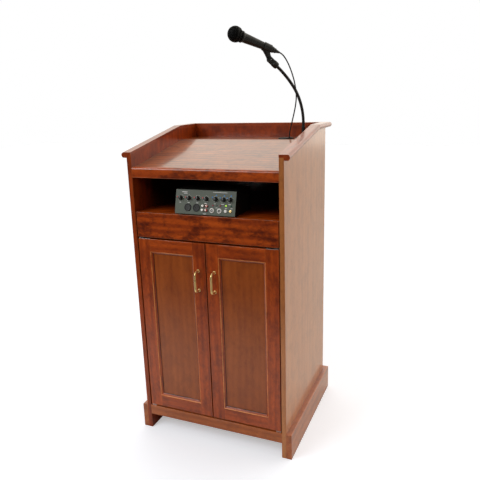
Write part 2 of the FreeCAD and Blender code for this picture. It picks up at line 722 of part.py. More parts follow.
def mixer_case():
    """Folded sheet case, open inside, with a hole for each fitting, on four rubber feet."""
    def side(inset):
        back = MIXER_FRONT + MIXER_D - inset
        low, high = MIXER_Z + inset, MIXER_Z + MIXER_H - inset
        shift = inset / math.cos(math.radians(FACE_LEAN))
        rise = MIXER_LEAN / MIXER_H
        bend = MIXER_BEND_R - inset
        return [(MIXER_FRONT + shift + rise * inset, low, bend), (back, low, bend), (back, high, bend),
                (MIXER_FRONT + shift + rise * (MIXER_H - inset), high, bend)]

    half = MIXER_W / 2
    inner_half = half - MIXER_SHEET
    case = prism_x(side(0), -half, half).cut(prism_x(side(MIXER_SHEET), -inner_half, inner_half))
    bores = [((u, KNOB_V), SHAFT_R + PANEL_HOLE_CLEAR) for u in KNOB_U]
    bores += [((u, COMBO_V), COMBO_BODY_R) for u in COMBO_U]
    bores += [(p, PHONO_R) for p in PHONO_PLACES]
    bores += [(p, JACK_R + JACK_WALL) for p in JACK_PLACES]
    bores += [(SMALL_JACK_PLACE, SMALL_JACK_R + SMALL_JACK_WALL), (BUTTON_PLACE, BUTTON_R + PANEL_HOLE_CLEAR)]
    bores += [(p, LAMP_R) for p in LAMP_PLACES]
    for place, radius in bores:
        case = case.cut(on_face(disc(radius, -MIXER_SHEET - 1, 1), place))
    feet = []
    for x in (-1, 1):
        for y in (MIXER_FRONT + 32, MIXER_FRONT + MIXER_D - 18):
            spot = Vector(x * (half - 20), y, BAY_FLOOR_Z)
            feet.append(rod(spot, spot + Vector(0, 0, FOOT_H), FOOT_R))
    save("mixer_case", case, *feet)


def knob():
    top = KNOB_GAP + KNOB_H
    shoulder = KNOB_GAP + KNOB_SKIRT_H
    grip = turned([(0, KNOB_GAP), (KNOB_R, KNOB_GAP), (KNOB_R, shoulder - 1, 1), (KNOB_R - 1.4, shoulder),
                   (KNOB_R - 2, top, 1.2), (0, top)])
    return grip.fuse(disc(SHAFT_R, -SHAFT_L, KNOB_GAP + 1))


def socket(flange_r, flange_h, body_r, body_l, bore_r, bore_l):
    """Panel socket: a flange outside, a body inside, and a blind plug hole."""
    shape = disc(flange_r, 0, flange_h, 0.8).fuse(disc(body_r, -body_l, 0.5))
    return shape.cut(disc(bore_r, flange_h - bore_l, flange_h + 1))


def mixer():
    mixer_case()
    for number, u in enumerate(KNOB_U, 1):
        save(f"mixer_knob_{number}", on_face(knob(), (u, KNOB_V)))
    combo = socket(COMBO_R, COMBO_OUT, COMBO_BODY_R, COMBO_BODY_L, JACK_R, COMBO_BORE_L)
    save("combo_sockets", *[on_face(combo, (u, COMBO_V)) for u in COMBO_U])
    phono_bore = disc(PHONO_BORE_R, PHONO_OUT - PHONO_BORE_L, PHONO_OUT + 1)
    phono = disc(PHONO_R, -PHONO_BODY_L, PHONO_OUT, 0.6).cut(phono_bore)
    save("phono_sockets", *[on_face(phono, p) for p in PHONO_PLACES])
    jack = socket(NUT_R, NUT_H, JACK_R + JACK_WALL, JACK_BODY_L, JACK_R, JACK_BORE_L)
    small = socket(SMALL_NUT_R, SMALL_NUT_H, SMALL_JACK_R + SMALL_JACK_WALL, SMALL_JACK_BODY_L, SMALL_JACK_R,
                   SMALL_JACK_BORE_L)
    save("jack_sockets", *[on_face(jack, p) for p in JACK_PLACES], on_face(small, SMALL_JACK_PLACE))
    lamp = turned([(0, -LAMP_BODY_L), (LAMP_R, -LAMP_BODY_L), (LAMP_R, LAMP_OUT, 2.2), (0, LAMP_OUT)])
    save("indicator_lamps", *[on_face(lamp, p) for p in LAMP_PLACES])
    save("power_button", on_face(disc(BUTTON_R, -BUTTON_IN, BUTTON_OUT, 1.2), BUTTON_PLACE))
    mixer_electronics()


def mixer_electronics():
    """Potentiometers behind the knobs, the button's switch, and the circuit board."""
    pot = disc(POT_R, -MIXER_SHEET - POT_L, -MIXER_SHEET)
    pot = pot.cut(disc(SHAFT_R + PIN_FIT, -SHAFT_L - INSIDE_GAP, 0))
    switch_top = -BUTTON_IN - BUTTON_TRAVEL - INSIDE_GAP
    switch = disc(BUTTON_R, switch_top - SWITCH_L, switch_top)
    half = MIXER_W / 2 - BOARD_INSET
    board = Part.makeBox(2 * half, BOARD_H, BOARD_T, Vector(-half, -BOARD_H / 2, -BOARD_BACK))
    save("mixer_electronics", *[on_face(pot, (u, KNOB_V)) for u in KNOB_U],
         on_face(switch, BUTTON_PLACE), on_face(board, (0.5, 0.5)))


# ---- microphone, gooseneck, clip ----
def in_plane(along, z):
    """A point in the upright plane that the gooseneck bends in."""
    return Vector(NECK_X, NECK_Y, z) + HEADING * along


def neck_path():
    """Straight rise, then each bend in turn; gives the wire, its end and its end direction."""
    along, z, angle = 0.0, LEDGE_Z + FLANGE_T, 0.0
    top = LEDGE_Z + NECK_RISE
    edges = [Part.LineSegment(in_plane(along, z), in_plane(along, top)).toShape()]
    z = top
    for radius, turn in NECK_BENDS:
        points = [in_plane(along, z)]
        for share in (0.5, 1.0):
            new = angle + math.radians(turn) * share
            points.append(in_plane(along + radius * (math.cos(angle) - math.cos(new)),
                                   z + radius * (math.sin(new) - math.sin(angle))))
        edges.append(Part.Arc(*points).toShape())
        new = angle + math.radians(turn)
        along += radius * (math.cos(angle) - math.cos(new))
        z += radius * (math.sin(new) - math.sin(angle))
        angle = new
    direction = HEADING * math.sin(angle) + Vector(0, 0, math.cos(angle))
    return Part.Wire(edges), in_plane(along, z), direction


def gooseneck(path):
    """Flexible tube with a thicker ferrule where it leaves the flange's collar."""
    start = Vector(NECK_X, NECK_Y, LEDGE_Z + FLANGE_T)
    section = Part.Wire(Part.makeCircle(NECK_R, start, Vector(0, 0, 1)))
    tube = path.makePipeShell([section], True, True)
    low = Vector(NECK_X, NECK_Y, LEDGE_Z + COLLAR_L)
    return tube.fuse(rod(low, low + Vector(0, 0, FERRULE_L), FERRULE_R))


def mic_flange():
    """Round foot and collar under the gooseneck, held down by three screws."""
    flange = turned([(0, 0), (FLANGE_R, 0), (FLANGE_R, FLANGE_T, 2.0), (COLLAR_R + 2, FLANGE_T + 1.5, 2.0),
                     (COLLAR_R, COLLAR_L, 1.0), (NECK_R, COLLAR_L), (NECK_R, FLANGE_T), (0, FLANGE_T)])
    flange.translate(Vector(NECK_X, NECK_Y, LEDGE_Z))
    screws = []
    for spot in flange_screw_spots():
        shank = rod(spot - Vector(0, 0, FLANGE_SCREW_L), spot + Vector(0, 0, 0.5), SCREW_R)
        head = disc(SCREW_HEAD_R, 0, SCREW_HEAD_T, 1.2)
        head.translate(spot)
        flange = flange.cut(rod(spot - Vector(0, 0, FLANGE_T + 1), spot, SCREW_R + SCREW_FIT))
        flange = flange.cut(rod(spot, spot + Vector(0, 0, COLLAR_L), SCREW_HEAD_R + SCREW_FIT))
        screws.append(head.fuse(shank))
    return [flange] + screws


def clip_base(end, direction, pin):
    """Barrel on the gooseneck's end with two ears, and the screw through them that the clip tilts on."""
    bore_r = NECK_R + BARREL_FIT
    nose = BARREL_L - BARREL_OVER
    barrel = turned([(bore_r, -BARREL_OVER), (BARREL_R - 2, -BARREL_OVER, 1.5), (BARREL_R, 0, 1),
                     (BARREL_R, nose - 4, 3), (BARREL_R - 4, nose), (0, nose), (0, 0), (bore_r, 0)])
    barrel = place_along(barrel, end, direction)
    half = KNUCKLE_W / 2 + EAR_GAP
    reach = PIVOT_REACH - nose + EAR_ROOT
    base = barrel
    for way in (-1, 1):
        start = pin + SIDEWAYS * (way * half)
        ear = rod(start, start + SIDEWAYS * (way * EAR_W), KNUCKLE_R)
        strap = Part.makeBox(2 * KNUCKLE_R, EAR_W, reach, Vector(-KNUCKLE_R, -EAR_W / 2, 0))
        turn = Rotation(SIDEWAYS.cross(direction), SIDEWAYS, direction, "XYZ")
        strap.Placement = Placement(pin - direction * reach + SIDEWAYS * (way * (half + EAR_W / 2)), turn)
        base = base.fuse(ear).fuse(strap)
    outside = half + EAR_W
    base = base.cut(rod(pin - SIDEWAYS * (outside + 1), pin + SIDEWAYS * (outside + 1), TILT_PIN_R))
    screw = rod(pin - SIDEWAYS * (outside + TILT_PIN_PROUD), pin + SIDEWAYS * outside, TILT_PIN_R)
    head = rod(pin + SIDEWAYS * outside, pin + SIDEWAYS * (outside + SCREW_HEAD_T), SCREW_HEAD_R)
    return [base, screw.fuse(head)]


def mic_axes(pin):
    """Ball centre, direction back along the handle, and the way up across it."""
    tilt = math.radians(MIC_TILT)
    forward = HEADING * math.cos(tilt) + Vector(0, 0, math.sin(tilt))
    up = HEADING * -math.sin(tilt) + Vector(0, 0, math.cos(tilt))
    ball = pin + Vector(0, 0, MIC_RISE / math.cos(tilt)) + forward * (MIC_LEAD + MIC_REACH)
    return ball, forward * -1, up


def handle_radius(distance):
    """Radius of the tapered handle at a distance behind the ball's centre."""
    share = (distance - BODY_TOP) / (MIC_TAIL - BODY_TOP)
    return MIC_TOP_R + (MIC_TAIL_R - MIC_TOP_R) * share


def microphone(ball, back):
    """Hollow body with the capsule on its end, ball grille, and the cord's plug."""
    top_r = MIC_TOP_R + COLLAR_PROUD
    collar = [(0, BALL_CUT), (top_r, BALL_CUT, 2), (top_r, BALL_CUT + COLLAR_BAND, 2)]
    body = turned(collar + [(MIC_TOP_R, BODY_TOP), (MIC_TAIL_R, MIC_TAIL, 1.5), (0, MIC_TAIL)])
    hollow = turned([(0, BALL_CUT + MIC_WALL), (MIC_TOP_R - MIC_WALL, BALL_CUT + MIC_WALL),
                     (MIC_TAIL_R - MIC_WALL, MIC_TAIL - MIC_WALL), (0, MIC_TAIL - MIC_WALL)])
    capsule = disc(CAPSULE_R, BALL_CUT - CAPSULE_L, BALL_CUT, 1.0)
    save("mic_body", place_along(body.cut(hollow), ball, back), place_along(capsule, ball, back))
    grille = Part.makeSphere(BALL_R).cut(Part.makeSphere(BALL_R - GRILLE_WALL))
    grille = grille.cut(disc(2 * BALL_R, BALL_CUT, 2 * BALL_R))
    save("mic_grille", place_along(grille, ball, back))
    tip = MIC_TAIL + PLUG_L + BOOT_L
    plug = turned([(0, MIC_TAIL), (PLUG_R, MIC_TAIL), (PLUG_R, MIC_TAIL + PLUG_L, 1.5), (BOOT_TIP_R, tip),
                   (0, tip)])
    save("cord_plug", place_along(plug, ball, back))


def mic_clip(pin, ball, back, up):
    """Split sleeve that grips the handle, its mouth upwards, on a flared stem with a knuckle."""
    near = MIC_REACH - CLIP_L / 2
    far = MIC_REACH + CLIP_L / 2
    in_near = handle_radius(near) + CLIP_FIT
    in_far = handle_radius(far) + CLIP_FIT
    sleeve = turned([(in_near, near), (in_near + CLIP_WALL, near, 1), (in_far + CLIP_WALL, far, 1),
                     (in_far, far)])
    mouth = Part.makeCylinder(2 * BALL_R, CLIP_L + 2, Vector(0, 0, near - 1), Vector(0, 0, 1), CLIP_OPEN)
    mouth.rotate(Vector(0, 0, 0), Vector(0, 0, 1), -CLIP_OPEN / 2)
    sleeve = sleeve.cut(mouth)
    sleeve.Placement = Placement(ball, Rotation(up, back.cross(up), back, "XYZ"))
    seat = ball + back * MIC_REACH
    along = seat - pin
    foot, top = STEM_FOOT_W / 2, STEM_TOP_W / 2
    flare = [(-foot, 0), (foot, 0), (top, along.Length), (-top, along.Length)]
    stem = prism_y(flare, -KNUCKLE_W / 2, KNUCKLE_W / 2)
    stem.Placement = Placement(pin, Rotation(SIDEWAYS.cross(along), SIDEWAYS, along, "XYZ"))
    first, last = near - CLIP_L / 2, far + CLIP_L / 2
    handle = turned([(0, first), (handle_radius(first) + CLIP_FIT, first),
                     (handle_radius(last) + CLIP_FIT, last), (0, last)])
    half = SIDEWAYS * (KNUCKLE_W / 2)
    clip = sleeve.fuse(stem.cut(place_along(handle, ball, back))).fuse(rod(pin - half, pin + half, KNUCKLE_R))
    save("mic_clip", clip.cut(rod(pin - half * 2, pin + half * 2, TILT_PIN_R + PIN_FIT)))


# ---- grommet and cord ----
def grommet():
    """Liner with a flange, and a lid with a slot for the cord."""
    liner = turned([(GROMMET_BORE - GROMMET_WALL, -PANEL_T), (GROMMET_BORE, -PANEL_T), (GROMMET_BORE, 0),
                    (GROMMET_R, 0), (GROMMET_R, GROMMET_T, 2.0), (GROMMET_BORE - GROMMET_WALL, GROMMET_T)])
    lid = disc(GROMMET_BORE - GROMMET_WALL, -LID_SINK, GROMMET_T)
    left = CORD_IN_X - GROMMET_X - SLOT_R
    right = CORD_IN_X - GROMMET_X + SLOT_R
    low = -SLOT_HALF - SLOT_R
    round_r = SLOT_R - SLOT_FLAT
    slot = [(left, low, round_r), (right, low, round_r), (right, SLOT_R, round_r), (left, SLOT_R, round_r)]
    lid = lid.cut(prism_z(slot, -LID_SINK - 1, GROMMET_T + 1))
    for shape in (liner, lid):
        shape.translate(Vector(GROMMET_X, GROMMET_Y, LEDGE_Z))
    save("cord_grommet", liner, lid)


def cord(start, direction):
    """Straight runs joined by tangent arcs, from the plug to inside the grommet."""
    end_z = LEDGE_Z - CORD_END_DROP
    points = [start, start + direction * CORD_EXIT]
    points += [Vector(*p) for p in CORD_ROUTE]
    points += [Vector(CORD_IN_X, GROMMET_Y, LEDGE_Z + 14), Vector(CORD_IN_X, GROMMET_Y, end_z)]
    edges = []
    last = points[0]
    for i in range(1, len(points) - 1):
        before = points[i] - points[i - 1]
        after = points[i + 1] - points[i]
        turn = before.getAngle(after)
        nip = 0.45 * min(before.Length, after.Length)
        radius = nip / math.tan(turn / 2)
        first = points[i] - before.normalize() * nip
        second = points[i] + after.normalize() * nip
        inward = ((first - points[i]) + (second - points[i])).normalize()
        middle = points[i] + inward * (radius / math.cos(turn / 2) - radius)
        print(f"cord bend {i}: run {(points[i] - points[i - 1]).Length:.0f} mm, turn "
              f"{math.degrees(turn):.0f} deg, radius {radius:.0f} mm")
        edges.append(Part.LineSegment(last, first).toShape())
        edges.append(Part.Arc(first, middle, second).toShape())
        last = second
    edges.append(Part.LineSegment(last, points[-1]).toShape())
    path = Part.Wire(edges)
    section = Part.Wire(Part.makeCircle(CORD_R, start, direction))
    tube = path.makePipeShell([section], True, True)
    wanted = math.pi * CORD_R ** 2 * path.Length
    print(f"cord length {path.Length:.0f} mm, volume {tube.Volume:.0f} of {wanted:.0f} mm3")
    save("mic_cord", tube)


carcass()
loose_shelf()
doors()
drawer()
mixer()
neck, neck_end, neck_direction = neck_path()
tilt_pin = neck_end + neck_direction * PIVOT_REACH
save("gooseneck", gooseneck(neck))
save("mic_flange", *mic_flange())
save("clip_base", *clip_base(neck_end, neck_direction, tilt_pin))
mic_ball, mic_back, mic_up = mic_axes(tilt_pin)
microphone(mic_ball, mic_back)
mic_clip(tilt_pin, mic_ball, mic_back, mic_up)
grommet()
cord(mic_ball + mic_back * (MIC_TAIL + PLUG_L + BOOT_L), mic_back)
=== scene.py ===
import json
import math

import bmesh
import bpy
import numpy as np
from mathutils import Matrix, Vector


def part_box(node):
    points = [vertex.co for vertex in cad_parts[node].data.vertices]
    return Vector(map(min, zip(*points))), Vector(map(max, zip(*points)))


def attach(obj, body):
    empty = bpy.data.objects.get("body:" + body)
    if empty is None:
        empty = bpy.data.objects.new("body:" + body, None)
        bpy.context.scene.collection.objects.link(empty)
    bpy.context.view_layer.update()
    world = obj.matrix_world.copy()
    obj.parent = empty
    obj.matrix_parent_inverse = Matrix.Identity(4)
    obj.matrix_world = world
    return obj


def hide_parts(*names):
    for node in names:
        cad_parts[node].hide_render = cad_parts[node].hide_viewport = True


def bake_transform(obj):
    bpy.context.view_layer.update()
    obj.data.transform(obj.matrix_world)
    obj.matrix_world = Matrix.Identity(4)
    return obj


# A presentation lectern in stained cherry, with its brass pulls, mixer and gooseneck microphone.
# Metres. +X is the presenter's right, +Y away from the presenter, +Z up from the floor.

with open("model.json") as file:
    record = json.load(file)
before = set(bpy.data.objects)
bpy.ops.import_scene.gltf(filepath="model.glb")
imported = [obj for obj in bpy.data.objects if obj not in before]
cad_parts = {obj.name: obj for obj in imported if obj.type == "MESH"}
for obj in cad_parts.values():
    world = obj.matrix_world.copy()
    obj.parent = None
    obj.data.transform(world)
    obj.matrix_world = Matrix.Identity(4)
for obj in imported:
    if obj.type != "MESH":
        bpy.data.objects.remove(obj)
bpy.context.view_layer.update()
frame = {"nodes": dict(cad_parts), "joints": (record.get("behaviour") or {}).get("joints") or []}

MM = 0.001
UP = np.array([0.0, 0.0, 1.0])
JOINTS = {joint["name"]: joint for joint in frame["joints"]}


# ---- camera
def make_camera():
    """Eye at desk height, to the presenter's right, looking back and a little down, with a slight roll."""
    eye = (0.8577, -1.9423, 1.3462)
    turn, drop, roll = math.radians(-23.21), math.radians(15.20), math.radians(1.80)
    ahead = np.array([math.sin(turn), math.cos(turn), 0.0])
    forward = ahead * math.cos(drop) - UP * math.sin(drop)
    level = np.cross(ahead, UP)
    down = np.cross(forward, level)
    right = math.cos(roll) * level + math.sin(roll) * down
    below = math.cos(roll) * down - math.sin(roll) * level
    data = bpy.data.cameras.new("camera")
    data.lens, data.sensor_width = 40.23, 36.0
    camera = bpy.data.objects.new("camera", data)
    pose = Matrix(np.stack([right, -below, -forward], axis=1).tolist()).to_4x4()
    pose.translation = eye
    camera.matrix_world = pose
    bpy.context.scene.collection.objects.link(camera)
    bpy.context.scene.camera = camera


make_camera()


# ---- shapes
def unit(vector):
    vector = np.asarray(vector, float)
    return vector / np.linalg.norm(vector, axis=-1, keepdims=True)


def points_of(x, y, z):
    """Points from coordinate arrays that share or spread over one grid."""
    return np.stack(np.broadcast_arrays(x, y, z), axis=-1)


def full_turn(count):
    """Even angles round a circle."""
    return np.linspace(0, 2 * np.pi, count, endpoint=False)


def axes(along, across):
    """Columns x, y, z: z along, x the part of across that is square to it, y their third side."""
    z = unit(along)
    x = unit(np.asarray(across, float) - np.dot(across, z) * z)
    return np.stack([x, np.cross(z, x), z], axis=1)


def placed(form, origin, turn):
    """A form moved from its own axes to the object's."""
    points, faces = form
    return points @ turn.T + np.asarray(origin, float), faces


def grid_faces(rows, columns, ring=True):
    """Quads between the neighbours of a rows by columns grid; ring joins the last column to the first."""
    row, column = np.meshgrid(np.arange(rows - 1), np.arange(columns if ring else columns - 1), indexing="ij")
    after = (column + 1) % columns
    corners = [row * columns + column, row * columns + after]
    corners += [(row + 1) * columns + after, (row + 1) * columns + column]
    return np.stack(corners, axis=-1).reshape(-1, 4)


def together(*forms):
    """Several forms as one."""
    points, faces, start = [], [], 0
    for some_points, some_faces in forms:
        points.append(some_points)
        faces.append(some_faces + start)
        start += len(some_points)
    return np.concatenate(points), np.concatenate(faces)


def rounded(corners, steps=5):
    """Open outline through (a, b, radius) corners: a corner with a radius becomes an arc of some chords."""
    spots = [np.array(corner[:2], float) for corner in corners]
    line = [spots[0]]
    for before, corner, after, spec in zip(spots, spots[1:], spots[2:], corners[1:]):
        radius = spec[2] if len(spec) > 2 else 0.0
        if not radius:
            line.append(corner)
            continue
        to_before, to_after = unit(before - corner), unit(after - corner)
        half = math.acos(float(np.clip(to_before @ to_after, -1, 1))) / 2
        middle = corner + unit(to_before + to_after) * radius / math.sin(half)
        first = corner + to_before * radius / math.tan(half) - middle
        last = corner + to_after * radius / math.tan(half) - middle
        share = np.linspace(0, 1, steps + 1)[:, None]
        arc = unit(first * (1 - share) + last * share) * radius
        line.extend(middle + arc)
    line.append(spots[-1])
    return np.array(line)


def turned(corners, around=64, steps=5, wave=None):
    """Turned form: profile radius r and height h swept through angle a as (r cos a, r sin a, h).
    wave(r, h, a) may give another radius at each point, for flutes and flats."""
    profile = rounded([[value * MM for value in corner] for corner in corners], steps)
    angle = full_turn(around)[None, :]
    radius, height = profile[:, :1], profile[:, 1:]
    if wave:
        radius = wave(radius, height, angle)
    points = points_of(radius * np.cos(angle), radius * np.sin(angle), height)
    return points.reshape(-1, 3), grid_faces(len(profile), around)


def capped(rings):
    """Rings of points with each end gathered to the middle of its ring, as one form."""
    ends = [np.broadcast_to(rings[i].mean(axis=0), (1, *rings.shape[1:])) for i in (0, -1)]
    rings = np.concatenate([ends[0], rings, ends[1]])
    return rings.reshape(-1, 3), grid_faces(len(rings), rings.shape[1])


def carried(path, across, section):
    """A ring of section offsets (a, b) at each point of a path: path + a n + b (t x n), where t is the path's
    direction and n the part of across that is square to it."""
    tangent = unit(np.gradient(path, axis=0))
    normal = unit(across - (tangent @ across)[:, None] * tangent)
    third = np.cross(tangent, normal)
    return capped(path[:, None] + section[..., :1] * normal[:, None] + section[..., 1:] * third[:, None])


def circle(radius, around):
    """Round section offsets for carried(): one radius per path point."""
    angle = full_turn(around)
    ring = np.stack([np.cos(angle), np.sin(angle)], axis=-1)
    return np.asarray(radius, float).reshape(-1, 1, 1) * ring


def squircle(half_a, half_b, around, power=4.0):
    """Rounded-rectangle section: |a/half_a|^power + |b/half_b|^power = 1, one pair of halves per path point."""
    cosine, sine = np.cos(full_turn(around)), np.sin(full_turn(around))
    reach = (np.abs(cosine) ** power + np.abs(sine) ** power) ** (-1 / power)
    a = np.asarray(half_a, float).reshape(-1, 1) * reach * cosine
    b = np.asarray(half_b, float).reshape(-1, 1) * reach * sine
    return np.stack([a, b], axis=-1)


def cross_screw(radius, height, rings=20, around=64):
    """Pan head on +Z: a dome, height * sqrt(1 - (r / R)^4), sunk by a cross-shaped recess in the middle."""
    share = np.linspace(0, 1, rings)[::-1, None]
    angle = full_turn(around)[None, :]
    x, y = share * np.cos(angle), share * np.sin(angle)
    arm = np.minimum(np.abs(x), np.abs(y))
    reach = np.maximum(np.abs(x), np.abs(y))
    cross = np.clip((0.15 - arm) / 0.05, 0, 1) * np.clip((0.55 - reach) / 0.08, 0, 1)
    z = height * np.sqrt(np.clip(1 - share ** 4, 0, 1)) - 0.55 * height * cross
    top = points_of(radius * x, radius * y, z)
    skirt = points_of(radius * x[:1], radius * y[:1], -0.2 * height)
    points = np.concatenate([skirt * [0, 0, 1], skirt, top])
    return points.reshape(-1, 3), grid_faces(rings + 2, around)


def smooth_step(value, low, high):
    share = np.clip((value - low) / (high - low), 0, 1)
    return share * share * (3 - 2 * share)


# ---- pieces
def make_piece(name, forms, materials, body, stands_for=(), sharp=38.0):
    """One object from forms; materials[i] covers forms[i]. Doubled points at seams and poles are merged."""
    forms = [forms] if isinstance(forms, tuple) else forms
    materials = materials if isinstance(materials, list) else [materials]
    kinds = list(dict.fromkeys(materials))
    points, faces = together(*forms)
    index = np.concatenate([np.full(len(form[1]), kinds.index(kind)) for form, kind in zip(forms, materials)])
    mesh = bpy.data.meshes.new(name)
    mesh.from_pydata(points.tolist(), [], faces.tolist())
    for kind in kinds:
        mesh.materials.append(kind)
    mesh.polygons.foreach_set("material_index", index.astype(np.int32))
    shape = bmesh.new()
    shape.from_mesh(mesh)
    bmesh.ops.remove_doubles(shape, verts=shape.verts, dist=1e-7)
    bmesh.ops.dissolve_degenerate(shape, dist=1e-7, edges=shape.edges)
    shape.to_mesh(mesh)
    shape.free()
    mesh.shade_smooth()
    mesh.set_sharp_from_angle(angle=math.radians(sharp))
    thing = bpy.data.objects.new(name, mesh)
    bpy.context.scene.collection.objects.link(thing)
    if body:
        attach(thing, body)
    for node in stands_for:
        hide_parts(node)
    return thing


# ---- shader helpers
def feed(tree, socket, value):
    """Link another node's output to a socket, or set the socket's own value."""
    if isinstance(value, bpy.types.NodeSocket):
        tree.links.new(value, socket)
    else:
        socket.default_value = value


def feed_all(tree, node, inputs):
    for key, value in inputs.items():
        feed(tree, node.inputs[key], value)


def add(tree, kind, inputs=None, **settings):
    """A node with its settings; inputs maps a socket to a value or to another node's output."""
    made = tree.nodes.new(kind)
    for key, value in settings.items():
        setattr(made, key, value)
    feed_all(tree, made, inputs or {})
    return made


def maths(tree, operation, a, b=0.0, clamp=False):
    return add(tree, "ShaderNodeMath", {0: a, 1: b}, operation=operation, use_clamp=clamp).outputs[0]


def times(tree, a, b, clamp=False):
    return maths(tree, "MULTIPLY", a, b, clamp)


def plus(tree, *values):
    """Sum of two or more values."""
    total = values[0]
    for value in values[1:]:
        total = maths(tree, "ADD", total, value)
    return total


def swung(tree, value, weight):
    """A value about one half, as a swing about nil."""
    return times(tree, maths(tree, "SUBTRACT", value, 0.5), weight)


def vectors(tree, operation, a, b=(0.0, 0.0, 0.0), output=0):
    return add(tree, "ShaderNodeVectorMath", {0: a, 1: b}, operation=operation).outputs[output]


def parts_of(tree, vector):
    return add(tree, "ShaderNodeSeparateXYZ", {0: vector}).outputs


def stretched(tree, vector, scale, location=(0, 0, 0), rotation=(0, 0, 0)):
    inputs = {"Vector": vector, "Location": location, "Rotation": rotation, "Scale": scale}
    return add(tree, "ShaderNodeMapping", inputs).outputs[0]


def noise(tree, vector, detail=2.0, roughness=0.5, scale=1.0):
    inputs = {"Vector": vector, "Scale": scale, "Detail": detail, "Roughness": roughness}
    return add(tree, "ShaderNodeTexNoise", inputs).outputs["Fac"]


def ranged(tree, value, low, high, to_low=0.0, to_high=1.0):
    inputs = {"Value": value, "From Min": low, "From Max": high, "To Min": to_low, "To Max": to_high}
    return add(tree, "ShaderNodeMapRange", inputs, interpolation_type="SMOOTHSTEP").outputs[0]


def blended(tree, share, a, b, kind="MIX"):
    made = add(tree, "ShaderNodeMix", data_type="RGBA", blend_type=kind)
    sockets = {"Factor_Float": share, "A_Color": a, "B_Color": b}
    for socket in made.inputs:
        if socket.identifier in sockets:
            feed(tree, socket, sockets[socket.identifier])
    return next(s for s in made.outputs if s.identifier == "Result_Color")


def new_group(name, inputs, outputs):
    """Node group with named sockets; returns its tree, its input node and a function that sets its outputs."""
    tree = bpy.data.node_groups.new(name, "ShaderNodeTree")
    kinds = {"color": "NodeSocketColor", "value": "NodeSocketFloat", "vector": "NodeSocketVector"}
    for label, kind, default in inputs:
        socket = tree.interface.new_socket(name=label, in_out="INPUT", socket_type=kinds[kind])
        if default is not None:
            socket.default_value = default
    for label, kind in outputs:
        tree.interface.new_socket(name=label, in_out="OUTPUT", socket_type=kinds[kind])
    source = tree.nodes.new("NodeGroupInput").outputs
    sink = tree.nodes.new("NodeGroupOutput").inputs

    def send(**results):
        for label, socket in results.items():
            tree.links.new(socket, sink[label])

    return tree, source, send


def use_group(tree, group, inputs):
    return add(tree, "ShaderNodeGroup", inputs, node_tree=group).outputs


def rgb(red, green, blue):
    """Linear colour with full alpha from 0 to 255 display values."""
    return tuple((channel / 255.0) ** 2.2 for channel in (red, green, blue)) + (1.0,)


def new_material(name):
    material = bpy.data.materials.new(name)
    material.use_nodes = True
    tree = material.node_tree
    tree.nodes.clear()
    shader = add(tree, "ShaderNodeBsdfPrincipled")
    output = add(tree, "ShaderNodeOutputMaterial")
    tree.links.new(shader.outputs[0], output.inputs[0])
    place = add(tree, "ShaderNodeTexCoord").outputs["Object"]
    return material, tree, shader, place


def bumped(tree, height, distance, strength=1.0):
    inputs = {"Height": height, "Distance": distance, "Strength": strength}
    return add(tree, "ShaderNodeBump", inputs).outputs[0]


# ---- wood
def make_grain_group():
    """Flat-sawn cherry, grain along Z, in metres: growth rings round a leaning heart, long streaks,
    short pores, and the blotches that a stain leaves."""
    tree, source, send = new_group(
        "cherry_grain",
        [("Vector", "vector", None), ("Pale", "color", None), ("Dark", "color", None),
         ("Mottle", "value", 0.5), ("Figure", "value", 0.5)],
        [("Color", "color"), ("Roughness", "value"), ("Height", "value")])
    place = source["Vector"]
    drift = add(tree, "ShaderNodeTexNoise", {"Vector": stretched(tree, place, (7, 7, 1.6)), "Scale": 1.0,
                                             "Detail": 2.0}).outputs["Color"]
    drift = vectors(tree, "MULTIPLY", vectors(tree, "SUBTRACT", drift, (0.5, 0.5, 0.5)), (0.03, 0.03, 0.03))
    bent = vectors(tree, "ADD", place, drift)
    heart = stretched(tree, bent, (1.0, 1.0, 0.06), location=(0.09, 0.13, 0.0), rotation=(0.05, -0.06, 0.0))
    rings = add(tree, "ShaderNodeTexWave",
                {"Vector": heart, "Scale": 14.0, "Distortion": 3.0, "Detail": 3.0, "Detail Scale": 1.6,
                 "Detail Roughness": 0.6},
                wave_type="RINGS", rings_direction="Z").outputs["Fac"]
    streaks = noise(tree, stretched(tree, bent, (120, 120, 9.0)), 4.0, 0.6)
    bands = noise(tree, stretched(tree, bent, (16, 16, 3.0)), 3.0, 0.5)
    fibres = noise(tree, stretched(tree, bent, (900, 900, 30.0)), 2.0, 0.5)
    pores = ranged(tree, noise(tree, stretched(tree, bent, (560, 560, 60.0)), 1.0, 0.4), 0.66, 0.76)
    blotches = noise(tree, stretched(tree, place, (24, 24, 15)), 5.0, 0.66)
    flecks = noise(tree, stretched(tree, place, (110, 110, 60)), 3.0, 0.65)

    light = plus(tree, swung(tree, streaks, 0.55), swung(tree, bands, 0.9),
                 swung(tree, rings, source["Figure"]), swung(tree, fibres, 0.22))
    tone = blended(tree, maths(tree, "ADD", light, 0.55, clamp=True), source["Dark"], source["Pale"])
    deep = plus(tree, ranged(tree, blotches, 0.34, 0.60, 1.0, 0.0), swung(tree, flecks, 2.2))
    deep = times(tree, deep, source["Mottle"], clamp=True)
    shaded = blended(tree, deep, tone, (0.34, 0.26, 0.22, 1.0), "MULTIPLY")
    color = blended(tree, times(tree, pores, 0.35), shaded, (0.30, 0.22, 0.20, 1.0), "MULTIPLY")
    rough = plus(tree, times(tree, streaks, 0.10), times(tree, pores, 0.10))
    height = maths(tree, "SUBTRACT", times(tree, fibres, 0.5), pores)
    send(Color=color, Roughness=rough, Height=height)
    return tree


